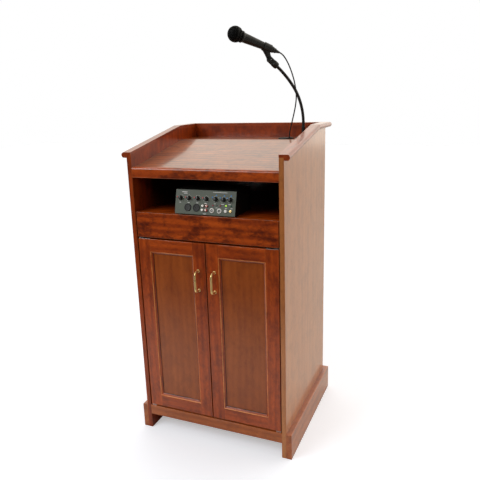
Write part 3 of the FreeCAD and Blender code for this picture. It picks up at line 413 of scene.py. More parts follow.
def make_edge_group():
    """Mask of the edges of a box-shaped board, where the colour is lightened, partly for wear and partly as a
    painted highlight. The distances to the nearest face along X, Y and Z are sorted: the smallest is nil on a
    face, and the next one is the way to the nearest edge. Noise breaks it up."""
    tree, source, send = new_group(
        "worn_and_lit_edges",
        [("Vector", "vector", None), ("Low", "vector", None), ("High", "vector", None),
         ("Width", "value", 0.002)],
        [("Mask", "value")])
    from_low = vectors(tree, "SUBTRACT", source["Vector"], source["Low"])
    from_high = vectors(tree, "SUBTRACT", source["High"], source["Vector"])
    parts = parts_of(tree, vectors(tree, "MINIMUM", from_low, from_high))
    lesser = maths(tree, "MINIMUM", parts[0], parts[1])
    greater = maths(tree, "MAXIMUM", parts[0], parts[1])
    second = maths(tree, "MAXIMUM", lesser, maths(tree, "MINIMUM", greater, parts[2]))
    ragged = noise(tree, stretched(tree, source["Vector"], (70, 70, 70)), 3.0, 0.6)
    width = times(tree, source["Width"], times(tree, ragged, 2.0))
    share = maths(tree, "DIVIDE", second, width)
    send(Mask=maths(tree, "SUBTRACT", 1.0, ranged(tree, share, 0.2, 1.0)))
    return tree


def make_moulding_group():
    """Mask of a rectangle's outline in X and Z: the signed distance to a box is the larger of |x| - half width
    and |z| - half height, and the mask is full where that is under the line's width."""
    tree, source, send = new_group(
        "moulding_line", [("Vector", "vector", None), ("Centre", "vector", None), ("Half", "vector", None),
                          ("Width", "value", 0.001)], [("Mask", "value")])
    folded = vectors(tree, "ABSOLUTE", vectors(tree, "SUBTRACT", source["Vector"], source["Centre"]))
    parts = parts_of(tree, vectors(tree, "SUBTRACT", folded, source["Half"]))
    distance = maths(tree, "ABSOLUTE", maths(tree, "MAXIMUM", parts[0], parts[2]))
    share = maths(tree, "DIVIDE", distance, source["Width"])
    ragged = noise(tree, stretched(tree, source["Vector"], (25, 25, 25)), 3.0, 0.6)
    line = maths(tree, "SUBTRACT", 1.0, ranged(tree, share, 0.4, 1.0))
    send(Mask=times(tree, line, ranged(tree, ragged, 0.3, 0.6, 0.35, 1.0)))
    return tree


GRAIN = make_grain_group()
EDGES = make_edge_group()
MOULDING_LIGHT_AND_SHADE = make_moulding_group()
# turn that brings a board's long axis to the grain's
ALONG = {"x": (0.0, -math.pi / 2, 0.0), "y": (math.pi / 2, 0.0, 0.0), "z": (0.0, 0.0, 0.0)}


def bay_shade_mask(tree, place):
    """Mask of painted shade inside the bay: it grows from the bay's opening inwards, on the faces of the boards
    that line it.
    """
    low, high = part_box("bay_shelf")
    desk_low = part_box("desk_board")[0]
    parts = parts_of(tree, place)
    inwards = ranged(tree, parts[1], low.y + 20 * MM, low.y + 150 * MM)
    within = ranged(tree, maths(tree, "ABSOLUTE", parts[0]), high.x + 0.5 * MM, high.x + 1.0 * MM, 1.0, 0.0)
    over_shelf = ranged(tree, parts[2], high.z - 1.0 * MM, high.z - 0.5 * MM)
    under_desk = ranged(tree, parts[2], desk_low.z + 5 * MM, desk_low.z + 10 * MM, 1.0, 0.0)
    return times(tree, times(tree, inwards, within), times(tree, over_shelf, under_desk))


# gloss of the lacquer: the coat's weight and roughness, and the sheen under it
SATIN = (0.55, 0.16, 0.5)
# width of the lighter band along board edges: partly wear, partly a painted highlight
WORN_AND_LIT_EDGE = 3.5 * MM


def stained_cherry(name, along, number, colors, mottle, figure, box=None, gloss=SATIN, lines=(), in_bay=False):
    """Cherry under a red mahogany stain and lacquer. along is the grain's axis, and number picks another part of
    the tree, so that no two boards match. colors are the pale and the dark wood, box is where the board's edges
    are lightened, partly for wear and partly as a painted highlight, lines are rectangles (centre, half size,
    width, colour) of painted highlight and painted shadow, and in_bay darkens what lines the bay with painted
    shade."""
    material, tree, shader, place = new_material(name)
    shift = (0.37 * number, 0.23 * number + 0.1, 0.71 * number)
    turned_place = stretched(tree, place, (1, 1, 1), location=shift, rotation=ALONG[along])
    grain = use_group(tree, GRAIN, {"Vector": turned_place, "Pale": colors[0], "Dark": colors[1],
                                    "Mottle": mottle, "Figure": figure})
    color = grain["Color"]
    if box:
        worn_and_lit = use_group(tree, EDGES, {"Vector": place, "Low": box[0], "High": box[1], "Width": WORN_AND_LIT_EDGE})
        # edges lightened towards a pale orange: partly wear, partly a painted highlight
        color = blended(tree, times(tree, worn_and_lit["Mask"], 0.35), color, rgb(176, 92, 44))
    for centre, half, width, tone in lines:
        # painted highlight and painted shadow lines round the door panels
        line = use_group(tree, MOULDING_LIGHT_AND_SHADE, {"Vector": place, "Centre": centre, "Half": half, "Width": width})
        color = blended(tree, line["Mask"], color, tone)
    if in_bay:
        # painted shade: the boards that line the bay are darkened towards its back
        color = blended(tree, bay_shade_mask(tree, place), color, (0.22, 0.20, 0.20, 1.0), "MULTIPLY")
    coat, coat_roughness, sheen = gloss
    feed_all(tree, shader, {
        "Base Color": color, "Roughness": plus(tree, grain["Roughness"], 0.26),
        "Normal": bumped(tree, grain["Height"], 0.00012, 0.35),
        "Coat Weight": coat, "Coat Roughness": coat_roughness, "Specular IOR Level": sheen, "IOR": 1.5})
    return material


RED_BROWN = (rgb(206, 90, 26), rgb(124, 42, 10))
# paler copy of the side panels' wood for the right panel only: painted light, for its brightly lit outer face
LIT_SIDE_BROWN = (rgb(206, 130, 72), rgb(170, 98, 50))
DESK_BROWN = (rgb(190, 102, 44), rgb(88, 38, 14))
PALE_EDGE = (rgb(198, 108, 50), rgb(140, 62, 24))
PANEL_BROWN = (rgb(176, 90, 34), rgb(138, 62, 20))
WALL_RED = (rgb(190, 80, 26), rgb(104, 34, 8))
# look of a kind of board: colours, mottle, figure
INSIDE = (RED_BROWN, 0.40, 0.40)
DESK = (DESK_BROWN, 0.60, 0.30)
CAP = (WALL_RED, 0.40, 0.20)
BASE = (PALE_EDGE, 0.35, 0.30)
DOOR_FRAME = (RED_BROWN, 0.55, 0.25)
DOOR_PANEL = (PANEL_BROWN, 0.25, 0.20)
# node: grain axis and look
BOARDS = {
    # the right side panel takes the paler, painted lit colour; the left keeps the wall red
    "side_panel_left": ("z", WALL_RED, 0.50, 0.20), "side_panel_right": ("z", LIT_SIDE_BROWN, 0.25, 0.20),
    "back_panel": ("z", WALL_RED, 0.65, 0.20), "desk_board": ("x", *DESK), "ledge_board": ("x", *DESK),
    "desk_front_rail": ("x", RED_BROWN, 0.95, 0.35), "bay_shelf": ("x", RED_BROWN, 0.50, 0.40),
    "divider_board": ("x", *INSIDE), "cabinet_floor": ("x", *INSIDE), "bottom_rail": ("x", *BASE),
    "cap_rail_left": ("y", *CAP), "cap_rail_right": ("y", *CAP), "cap_rail_back": ("x", *CAP),
    "base_board_left": ("y", *BASE), "base_board_right": ("y", *BASE), "base_board_back": ("x", *BASE),
    "cabinet_shelf": ("x", *INSIDE), "drawer_front": ("x", RED_BROWN, 1.0, 0.40),
}
for door_side in ("left", "right"):
    BOARDS[f"{door_side}_door_stiles"] = ("z", *DOOR_FRAME)
    BOARDS[f"{door_side}_door_rails"] = ("x", *DOOR_FRAME)
    BOARDS[f"{door_side}_door_panel"] = ("z", *DOOR_PANEL)
# gloss where it isn't satin
LACQUER = {"bay_shelf": (0.2, 0.16, 0.3), "side_panel_right": (1.0, 0.16, 0.5),
           "side_panel_left": (0.1, 0.16, 0.5), "base_board_right": (0.9, 0.16, 0.5),
           "cap_rail_right": (0.9, 0.16, 0.5), "desk_board": (0.80, 0.10, 0.25)}
BAY_LINING = ("side_panel_left", "side_panel_right", "back_panel", "bay_shelf")


def finish_node(node, material):
    """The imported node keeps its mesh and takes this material."""
    slots = frame["nodes"][node].data.materials
    slots.clear()
    slots.append(material)


def moulding_highlight_and_shadow(side):
    """Painted highlight along the arris of a door's moulding, and a painted shadow line where the moulding meets
    the panel.
    """
    low, high = (np.array(corner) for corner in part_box(f"{side}_door_stiles"))
    centre, half = (low + high) / 2, (high - low) / 2
    outer, inner = 50 * MM, 57.5 * MM
    # pale line: painted highlight on the arris; dark line: painted shadow at the panel
    return [(tuple(centre), tuple(half - outer), 1.8 * MM, rgb(246, 156, 88)),
            (tuple(centre), tuple(half - inner), 1.4 * MM, rgb(58, 22, 8))]


def finish_boards():
    for number, (node, (along, *look)) in enumerate(BOARDS.items()):
        lines = moulding_highlight_and_shadow(node.split("_")[0]) if "_door_" in node and "panel" not in node else ()
        finish_node(node, stained_cherry(f"cherry_{node}", along, number, *look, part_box(node),
                                         LACQUER.get(node, SATIN), lines, node in BAY_LINING))


def birch():
    """Pale clear-lacquered wood of the drawer box."""
    return stained_cherry("clear_birch", "y", 31, (rgb(205, 170, 122), rgb(170, 130, 86)), 0.12, 0.15)


finish_boards()


# ---- other finishes
def make_speckle_group():
    """Fine unevenness of a moulded, painted or plated skin: slow cloudiness in the gloss and a fine grain."""
    tree, source, send = new_group(
        "fine_speckle", [("Vector", "vector", None), ("Grain", "value", 900.0), ("Cloud", "value", 40.0)],
        [("Cloudiness", "value"), ("Height", "value")])
    grain = noise(tree, source["Vector"], 3.0, scale=source["Grain"])
    cloud = noise(tree, source["Vector"], 4.0, scale=source["Cloud"])
    send(Cloudiness=ranged(tree, cloud, 0.3, 0.7), Height=grain)
    return tree


SPECKLE = make_speckle_group()


def darker(color, share):
    """The colour with that share of its light taken away."""
    return tuple(channel * (1 - share) for channel in color[:3]) + (1.0,)


def skin(name, color, roughness, spread=0.12, grain=900.0, depth=0.00003, metal=0.0, coat=0.0, tint=0.25):
    """A plain finish with life in it: its gloss and shade drift a little, and it has a fine grain."""
    material, tree, shader, place = new_material(name)
    speckle = use_group(tree, SPECKLE, {"Vector": place, "Grain": grain})
    feed_all(tree, shader, {
        "Base Color": blended(tree, speckle["Cloudiness"], darker(color, tint), color),
        "Roughness": ranged(tree, speckle["Cloudiness"], 0.0, 1.0, roughness - spread / 2,
                            roughness + spread / 2),
        "Normal": bumped(tree, speckle["Height"], depth, 0.6), "Metallic": metal, "Coat Weight": coat,
        "Coat Roughness": 0.12})
    return material


def brushed(name, color, axis, roughness=0.32):
    """Metal rubbed along one axis: a fine streaked grain in gloss and height."""
    material, tree, shader, place = new_material(name)
    scale = tuple(30.0 if letter == axis else 1400.0 for letter in "xyz")
    streaks = noise(tree, stretched(tree, place, scale), 2.0, 0.6)
    feed_all(tree, shader, {
        "Base Color": blended(tree, streaks, darker(color, 0.3), color), "Metallic": 1.0,
        "Roughness": ranged(tree, streaks, 0.2, 0.8, roughness - 0.1, roughness + 0.12),
        "Normal": bumped(tree, streaks, 0.00003, 0.4)})
    return material


def lamp_lens(name, color, glow):
    """Tinted domed lens; glow is its light when it is on."""
    material, tree, shader, place = new_material(name)
    speckle = use_group(tree, SPECKLE, {"Vector": place, "Grain": 300.0})
    feed_all(tree, shader, {
        "Base Color": blended(tree, speckle["Cloudiness"], darker(color, 0.4), color), "Roughness": 0.18,
        "Coat Weight": 0.6, "Emission Color": color, "Emission Strength": glow})
    return material


BRASS = skin("polished_brass", (1.0, 0.78, 0.34, 1.0), 0.3, 0.06, 200.0, 0.000001, metal=0.9, coat=0.6, tint=0.05)
ZINC = brushed("zinc_plate", (0.60, 0.61, 0.63, 1.0), "y")
CATCH = skin("catch_plastic", rgb(92, 66, 48), 0.5)
KNOB = skin("knob_black", rgb(26, 27, 28), 0.38, 0.1, 1200.0, 0.00002)
SOCKET = skin("socket_black", rgb(12, 13, 13), 0.5, 0.1, 1200.0, 0.00003)
SOCKET_GREY = skin("socket_grey", rgb(44, 46, 45), 0.5, 0.1, 1200.0, 0.00003)
HOLE = skin("socket_hole", rgb(8, 8, 8), 0.7)
WHITE_PLASTIC = skin("phono_white", (1.0, 0.99, 0.96, 1.0), 0.35, 0.08, 700.0, 0.00002, tint=0.02)
RED_PLASTIC = skin("phono_red", rgb(236, 104, 98), 0.3, 0.08, 700.0, 0.00002, tint=0.1)
NICKEL = skin("bright_nickel", (0.88, 0.86, 0.80, 1.0), 0.2, 0.1, 800.0, 0.00001, metal=1.0, tint=0.1)
PALE_NUT = skin("nut_pale", (1.0, 0.98, 0.94, 1.0), 0.35, 0.1, 800.0, 0.00002, tint=0.02)
GOLD = skin("gold_plate", (0.90, 0.68, 0.30, 1.0), 0.24, 0.1, 800.0, 0.00001, metal=1.0, tint=0.15)
WHITE_INK = skin("white_ink", (1.0, 1.0, 0.98, 1.0), 0.6, 0.1, 1500.0, 0.00001, tint=0.02)
RED_INK = skin("red_ink", rgb(224, 70, 76), 0.55, 0.1, 1500.0, 0.00001)
BLUE_INK = skin("blue_ink", rgb(66, 150, 226), 0.55, 0.1, 1500.0, 0.00001)
CIRCUIT = skin("circuit_green", rgb(34, 92, 52), 0.45)
STAND = skin("stand_enamel", rgb(9, 11, 11), 0.5, 0.14, 700.0, 0.00003)
MIC_SKIN = skin("microphone_enamel", rgb(17, 21, 18), 0.5, 0.12, 1100.0, 0.00005)
MESH_WIRE = skin("grille_wire", rgb(17, 19, 18), 0.45, 0.1, 600.0, 0.00001, metal=0.5)
FOAM = skin("grille_foam", rgb(8, 9, 9), 0.95, 0.04, 500.0, 0.0004)
CLIP_PLASTIC = skin("clip_plastic", rgb(18, 21, 20), 0.5, 0.14, 900.0, 0.00005)
CORD_RUBBER = skin("cord_rubber", rgb(20, 21, 22), 0.6, 0.1, 900.0, 0.00003)
GROMMET = skin("grommet_plastic", rgb(10, 11, 11), 0.6, 0.1, 900.0, 0.00004)


# ---- microphone stand
LEDGE_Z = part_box("ledge_board")[1].z
NECK_X, NECK_Y = sum(np.array(corner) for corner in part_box("mic_flange"))[:2] / 2
NECK_RISE = 60 * MM
NECK_BENDS = ((240 * MM, math.radians(38)), (433 * MM, math.radians(14)))
TILT_PIN = np.array(JOINTS["mic_tilt"]["pos_m"])
SIDEWAYS = unit(JOINTS["mic_tilt"]["axis"])
HEADING = np.cross(UP, SIDEWAYS)
NECK_TURN = sum(turn for _, turn in NECK_BENDS)
NECK_AIM = HEADING * math.sin(NECK_TURN) + UP * math.cos(NECK_TURN)
MIC_TILT = math.radians(18.5)
MIC_RISE = 38 * MM
MIC_LEAD = 12 * MM
MIC_REACH = 140 * MM
PIVOT_REACH = 34 * MM
MIC_FORWARD = HEADING * math.cos(MIC_TILT) + UP * math.sin(MIC_TILT)
MIC_UP = UP * math.cos(MIC_TILT) - HEADING * math.sin(MIC_TILT)
MIC_BACK_AXES = axes(-MIC_FORWARD, MIC_UP)
BALL = TILT_PIN + UP * MIC_RISE / math.cos(MIC_TILT) + MIC_FORWARD * (MIC_LEAD + MIC_REACH)
MIC_TAIL = 168 * MM
PLUG_TIP = 196 * MM
CORD_DIAMETER = 5 * MM
GROMMET_PLACE = (0.184, 0.1695)
CORD_HOLD = (0.2135, 0.161, 1.297)


def microphone_cord():
    """Thin lead from the plug's boot, down beside the gooseneck, into the grommet: a smooth line that the points
    of its route pull into shape. It gives the piece, its middle line, its start and its length."""
    start = BALL - MIC_FORWARD * PLUG_TIP
    route = [
        tuple(start), tuple(start - MIC_FORWARD * 15 * MM),
        (0.1875, 0.136, 1.4645), (0.200, 0.141, 1.434), (0.210, 0.147, 1.400), (0.2165, 0.1525, 1.364),
        (0.218, 0.1575, 1.330), CORD_HOLD, (0.205, 0.164, 1.263), (0.1955, 0.167, 1.229),
        (0.1875, 0.169, 1.200), (*GROMMET_PLACE, LEDGE_Z + 14 * MM), (*GROMMET_PLACE, LEDGE_Z - 8 * MM),
    ]
    curve = bpy.data.curves.new("cord_line", "CURVE")
    curve.dimensions = "3D"
    curve.resolution_u = 12
    spline = curve.splines.new("NURBS")
    spline.points.add(len(route) - 1)
    for point, place in zip(spline.points, route):
        point.co = (*place, 1.0)
    spline.order_u = 3
    spline.use_endpoint_u = True
    holder = bpy.data.objects.new("cord_line", curve)
    line_mesh = bpy.data.meshes.new_from_object(holder)
    line = np.array([vertex.co for vertex in line_mesh.vertices], float)
    bpy.data.objects.remove(holder)
    bpy.data.curves.remove(curve)
    bpy.data.meshes.remove(line_mesh)
    tube = carried(line, SIDEWAYS, circle(np.full(len(line), CORD_DIAMETER / 2), 20))
    cord = make_piece("microphone_lead", tube, CORD_RUBBER, None, ["mic_cord"])
    length = float(np.linalg.norm(np.diff(line, axis=0), axis=1).sum())
    return cord, line, start, length


CORD, CORD_LINE, CORD_EXIT, CORD_LENGTH = microphone_cord()


def neck_line(spacing):
    """Points up the gooseneck: straight for its rise, then along each bend in turn. At arc length s into a bend
    of radius R that starts at angle a, the point moves by R (cos a - cos(a + s/R)) out and the sine's gain up."""
    sunk = 5 * MM
    foot = np.array([NECK_X, NECK_Y, LEDGE_Z + sunk])
    straight = np.arange(int((NECK_RISE - sunk) / spacing) + 1) * spacing
    out, height = [0 * straight], [foot[2] + straight]
    along, level, angle = 0.0, LEDGE_Z + NECK_RISE, 0.0
    for radius, turn in NECK_BENDS:
        steps = np.linspace(0, turn, int(radius * turn / spacing) + 1)[1:]
        out.append(along + radius * (math.cos(angle) - np.cos(angle + steps)))
        height.append(level + radius * (np.sin(angle + steps) - math.sin(angle)))
        along, level, angle = out[-1][-1], height[-1][-1], angle + turn
    out, height = np.concatenate(out), np.concatenate(height)
    return foot * [1, 1, 0] + out[:, None] * HEADING + height[:, None] * UP


def gooseneck():
    """Wound flexible tube: radius 6 mm less a groove at every turn, and a smooth ferrule low down."""
    path = neck_line(0.5 * MM)
    along = np.concatenate([[0], np.cumsum(np.linalg.norm(np.diff(path, axis=0), axis=1))])
    pitch = 3.2 * MM
    groove = 0.5 * MM * (0.5 + 0.5 * np.cos(2 * np.pi * along / pitch)) ** 3
    collar_top, ferrule_top = 13 * MM, 43 * MM
    on_ferrule = smooth_step(along, collar_top - MM, collar_top)
    on_ferrule = on_ferrule - smooth_step(along, ferrule_top - 2 * MM, ferrule_top)
    radius = (6 * MM - groove) * (1 - on_ferrule) + 7.5 * MM * on_ferrule
    tube = carried(path, SIDEWAYS, circle(radius, 28))
    make_piece("wound_gooseneck", tube, STAND, "root", ["gooseneck"], sharp=60)


def flange():
    """Turned foot with a rolled edge and a collar, and its three cross-head screws."""
    foot = turned([(0, 0), (31, 0), (31, 5, 2.2), (13.5, 6.4, 2.5), (12, 8.5, 0.8), (10.5, 9.3, 0.6),
                   (10.5, 18, 1.2), (6.2, 18, 0.4), (6.2, 15)], 96)
    centre = np.array([NECK_X, NECK_Y, LEDGE_Z])
    screw_circle = 22 * MM
    forms = [placed(foot, centre, np.eye(3))]
    for angle in full_turn(3) + math.radians(30):
        spot = centre + [screw_circle * math.cos(angle), screw_circle * math.sin(angle), 5.2 * MM]
        forms.append(placed(cross_screw(4 * MM, 2.0 * MM), spot, np.eye(3)))
    make_piece("gooseneck_flange", forms, [STAND] * len(forms), "root", ["mic_flange"])


def clip_base():
    """Barrel on the neck's end with grip rings, two ears, and the screw that the clip tilts on."""
    end = TILT_PIN - NECK_AIM * PIVOT_REACH

    def rings(radius, height, angle):
        band = smooth_step(height, 2 * MM, 3 * MM) - smooth_step(height, 11 * MM, 12 * MM)
        return radius - 0.4 * MM * band * (0.5 + 0.5 * np.cos(24 * angle)) * (radius > 11 * MM)

    grip = [(13, height) for height in (2, 3, 7, 11, 12)]
    barrel = turned([(6.3, -6), (11, -6, 1.2), (13, 0, 1.5), *grip, (13, 14, 3), (9, 18, 1.5), (0, 18)], 96,
                    wave=rings)
    forms = [placed(barrel, end, axes(NECK_AIM, SIDEWAYS))]
    for side in (-1, 1):
        middle = TILT_PIN + SIDEWAYS * side * 6.4 * MM
        eye = turned([(0, -2), (10, -2, 0.8), (10, 2, 0.8), (0, 2)], 48)
        forms.append(placed(eye, middle, axes(SIDEWAYS * side, NECK_AIM)))
        path = middle - NECK_AIM * np.linspace(19, 0, 24)[:, None] * MM
        forms.append(carried(path, SIDEWAYS, squircle(np.full(24, 2 * MM), np.linspace(9.6, 10, 24) * MM, 28, 6)))
    head = placed(cross_screw(4 * MM, 2.3 * MM), TILT_PIN + SIDEWAYS * 8.4 * MM, axes(SIDEWAYS, NECK_AIM))
    tip = turned([(0, 0), (2, 0), (2, 1.5, 0.5), (0, 1.5)], 32)
    tip = placed(tip, TILT_PIN - SIDEWAYS * 8.4 * MM, axes(-SIDEWAYS, NECK_AIM))
    make_piece("clip_mount", forms + [head, tip], [CLIP_PLASTIC] * len(forms) + [ZINC, ZINC], "root",
               ["clip_base"])


# ---- microphone
def handle_radius(distance):
    """Tapered handle: radius falls evenly from 18 mm at 34 mm behind the ball's centre to 11.5 mm at its tail."""
    return (18 + (11.5 - 18) * (distance / MM - 34) / (MIC_TAIL / MM - 34)) * MM


def microphone_body():
    """Turned handle: a rolled collar under the ball, a long taper, and two fine grooves near its tail."""
    body = turned([(0, 22), (19.5, 22), (21.5, 23.5, 1.2), (21.5, 29, 1.6), (19.2, 31.5, 1.0), (18, 34, 2.0),
                   (14.1, 115), (12.55, 146.3), (12.1, 146.8), (12.1, 147.8), (12.45, 148.3), (11.8, 161.5),
                   (11.3, 162), (11.3, 163), (11.65, 163.4), (11.5, 168, 1.4), (0, 168)], 96)
    make_piece("microphone_handle", placed(body, BALL, MIC_BACK_AXES), MIC_SKIN, "microphone",
               ["mic_body"])


def woven_cap(first, last=1.50, pitch=1.9 * MM):
    """Half of a woven-wire ball, from polar angle first to last. A plane weave of crossing wires, each rising and
    dipping by a wire's radius at every crossing, is wrapped on a sphere: a point at distance d from the pole goes
    to polar angle d / R."""
    ball_r, wire_r = 28.4 * MM, 0.36 * MM
    reach = ball_r * last
    count = int(2 * reach / pitch) + 1
    lanes = (np.arange(count) - (count - 1) / 2) * pitch
    samples = 3 * count
    share = np.linspace(-1, 1, samples)
    lane = np.broadcast_to(lanes[:, None], (count, samples))
    half = np.sqrt(np.clip(reach ** 2 - lane ** 2, 0, None))
    run = half * share
    lift = wire_r * 0.9 * np.cos(np.pi * run / pitch) * np.where(np.arange(count) % 2, 1, -1)[:, None]
    ring = (full_turn(4) + np.pi / 4)[:, None]
    distance = np.hypot(lane, run)
    polar = distance / ball_r
    keep = (distance >= ball_r * first).reshape(-1).repeat(4)
    faces = grid_faces(samples, 4)[None] + (np.arange(count) * samples * 4)[:, None, None]
    faces = faces.reshape(-1, 4)
    faces = faces[keep[faces].all(axis=1)]
    forms = []
    for a, b, over in ((lane, run, lift), (run, lane, -lift)):
        bearing = np.arctan2(b, a)
        outward = points_of(np.sin(polar) * np.cos(bearing), np.sin(polar) * np.sin(bearing), np.cos(polar))
        line = outward * (ball_r + over)[..., None]
        side = unit(np.cross(unit(np.gradient(line, axis=1)), outward))
        around = np.cos(ring) * outward[:, :, None] + np.sin(ring) * side[:, :, None]
        forms.append(((line[:, :, None] + wire_r * around).reshape(-1, 3), faces))
    return together(*forms)


def grille():
    """Ball grille: woven front and rear halves over dark foam, joined by a smooth band round the middle."""
    cut = math.acos(22 / 29)
    front = placed(woven_cap(0.0), BALL, axes(MIC_FORWARD, MIC_UP))
    rear = placed(woven_cap(cut + 0.02), BALL, MIC_BACK_AXES)
    for name, form in (("grille_front_weave", front), ("grille_rear_weave", rear)):
        make_piece(name, form, MESH_WIRE, "microphone", ["mic_grille"], sharp=80)
    band = turned([(27.0, -2.2), (28.7, -2.2, 0.5), (28.95, 0, 3.0), (28.7, 2.2, 0.5), (27.0, 2.2)], 120)
    foam = turned([(max(27.3 * math.sin(a), 0), 27.3 * math.cos(a))
                   for a in np.linspace(math.pi, cut * 0.98, 40)], 64)
    for name, form, finish in (("grille_band", band, MESH_WIRE), ("grille_foam", foam, FOAM)):
        make_piece(name, placed(form, BALL, MIC_BACK_AXES), finish, "microphone")


def clip_sleeve():
    """Split sleeve round the handle, open upwards: a C-shaped section as thick as the wall, with round lips,
    carried back along the taper; near its two ends the wall thins to a rounded edge."""
    length, wall, mouth = 36 * MM, 3.2 * MM, math.radians(70)
    near = MIC_REACH - length / 2
    around, lip = 72, 10
    sweep = np.linspace(mouth / 2, 2 * math.pi - mouth / 2, around)
    turn = np.linspace(0, math.pi, lip + 2)[1:-1]
    angle = np.concatenate([sweep, np.full(lip, sweep[-1]), sweep[::-1], np.full(lip, sweep[0])])
    inset = np.concatenate([np.ones(around), np.cos(turn), -np.ones(around), -np.cos(turn)])
    past = np.concatenate([np.zeros(around), np.sin(turn), np.zeros(around), -np.sin(turn)])
    rows = np.linspace(0, 1, 25)
    distance = near + length * rows
    edge = 1.4 * MM
    to_end = np.minimum(rows, 1 - rows) * length
    thin = np.sqrt(np.clip(1 - (1 - np.clip(to_end / edge, 0, 1)) ** 2, 0.0, 1))
    half = wall / 2 * thin
    middle = handle_radius(distance) + 0.15 * MM + wall / 2
    radius = middle[:, None] + half[:, None] * inset
    swing = angle + past * half[:, None] / middle[:, None]
    local = points_of(radius * np.cos(swing), radius * np.sin(swing), distance[:, None])
    return placed((local.reshape(-1, 3), grid_faces(len(rows), len(angle))), BALL, MIC_BACK_AXES)


def clip():
    """Sleeve, its flared stem and the knuckle that tilts between the ears. The stem's rounded sections turn from
    square across the stem at the knuckle to level with the handle under the sleeve."""
    seat = BALL - MIC_FORWARD * MIC_REACH
    top = seat - MIC_UP * (handle_radius(MIC_REACH) + 1.0 * MM)
    share = np.linspace(0, 1, 30)[:, None]
    path = TILT_PIN + (top - TILT_PIN) * share
    square = unit(np.cross(SIDEWAYS, top - TILT_PIN))
    lean = unit(square * (1 - share) - MIC_FORWARD * share)
    depth = (10.6 + 1.2 * share + 5.6 * share ** 4) * MM
    width = (3.9 + 5.0 * smooth_step(share, 0.3, 1.0)) * MM
    section = squircle(depth, width, 40, 3.0)
    stem = capped(path[:, None] + section[..., :1] * lean[:, None] + section[..., 1:] * SIDEWAYS)
    eye = turned([(0, -3.9), (10, -3.9, 0.8), (10, 3.9, 0.8), (0, 3.9)], 48)
    eye = placed(eye, TILT_PIN, axes(SIDEWAYS, HEADING))
    make_piece("microphone_clip", [clip_sleeve(), stem, eye], [CLIP_PLASTIC] * 3, "microphone",
               ["mic_clip"])


def plug():
    """Lead's plug: a knurled shell on the handle's tail, then a boot whose rings get smaller towards the lead."""
    def boot_rings(radius, height, angle):
        level = height / MM
        on_boot = smooth_step(level, 12, 13) - smooth_step(level, 27, 28)
        on_shell = smooth_step(level, 2, 2.5) - smooth_step(level, 8, 8.5)
        ring = 0.5 + 0.5 * np.cos(2 * np.pi * (level - 12) / 2.6)
        knurl = 0.5 + 0.5 * np.cos(30 * angle)
        return radius - MM * (0.45 * on_boot * ring + 0.25 * on_shell * knurl) * (radius > 3 * MM)

    heights = np.linspace(12, 27.6, 40)
    slope = [(7.4 + (3.9 - 7.4) * (h - 12) / 16, h) for h in heights]
    shell = [(0, 0), (9.0, 0), (9.2, 0.8), (9.2, 2), (9.2, 2.5), (9.2, 5), (9.2, 8), (9.2, 8.5), (9.2, 10, 1.4),
             (7.6, 11.2)]
    form = turned(shell + slope + [(3.7, 28, 0.4), (0, 28)], 90, wave=boot_rings)
    form = placed(form, BALL - MIC_FORWARD * MIC_TAIL, MIC_BACK_AXES)
    return make_piece("lead_plug", form, CLIP_PLASTIC, "microphone", ["cord_plug"])


gooseneck()
flange()
clip_base()
microphone_body()
grille()
clip()
LEAD_PLUG = plug()
finish_node("cord_grommet", GROMMET)
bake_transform(CORD)


# ---- mixer
FACE_OUT = unit(JOINTS["knob_1_turn"]["axis"])
FACE_RIGHT = np.array([1.0, 0.0, 0.0])
FACE_UP = np.cross(FACE_OUT, FACE_RIGHT)
FACE_AXES = np.stack([FACE_RIGHT, FACE_UP, FACE_OUT], axis=1)
CASE_LOW, CASE_HIGH = (np.array(corner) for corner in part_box("mixer_case"))
FACE_LENGTH = 91.2 * MM
KNOB_V = 0.34
KNOBS = [np.array(JOINTS[f"knob_{number}_turn"]["pos_m"]) for number in range(1, 8)]


def on_face(across, down):
    """Point on the mixer's face, as shares of its width from the left and of its slope from the top."""
    x = CASE_LOW[0] + across * (CASE_HIGH[0] - CASE_LOW[0])
    spot = KNOBS[0] + FACE_UP * FACE_LENGTH * (KNOB_V - down)
    return np.array([x, spot[1], spot[2]])


def at_face(form, across, down):
    """A form, made about its own axes, set on the mixer's face."""
    return placed(form, on_face(across, down), FACE_AXES)


def raised_marks(marks):
    """Printed marks on the face, each (point, width, height, angle): a flat pad with round corners, sloped sides
    and a closed top. Its outline is a rounded rectangle of 20 points."""
    ink = 0.08 * MM
    forms = []
    for point, width, height, angle in marks:
        outline = squircle([width / 2], [height / 2], 20, 6)[0]
        rings = [np.column_stack([outline * share, np.full(len(outline), level)])
                 for share, level in ((0, 0), (1, 0), (1, ink), (0, ink))]
        turn = axes((0, 0, 1), (math.cos(angle), math.sin(angle), 0))
        local = np.concatenate(rings), grid_faces(len(rings), len(outline))
        forms.append(placed(placed(local, (0, 0, 0), turn), point, FACE_AXES))
    return together(*forms)


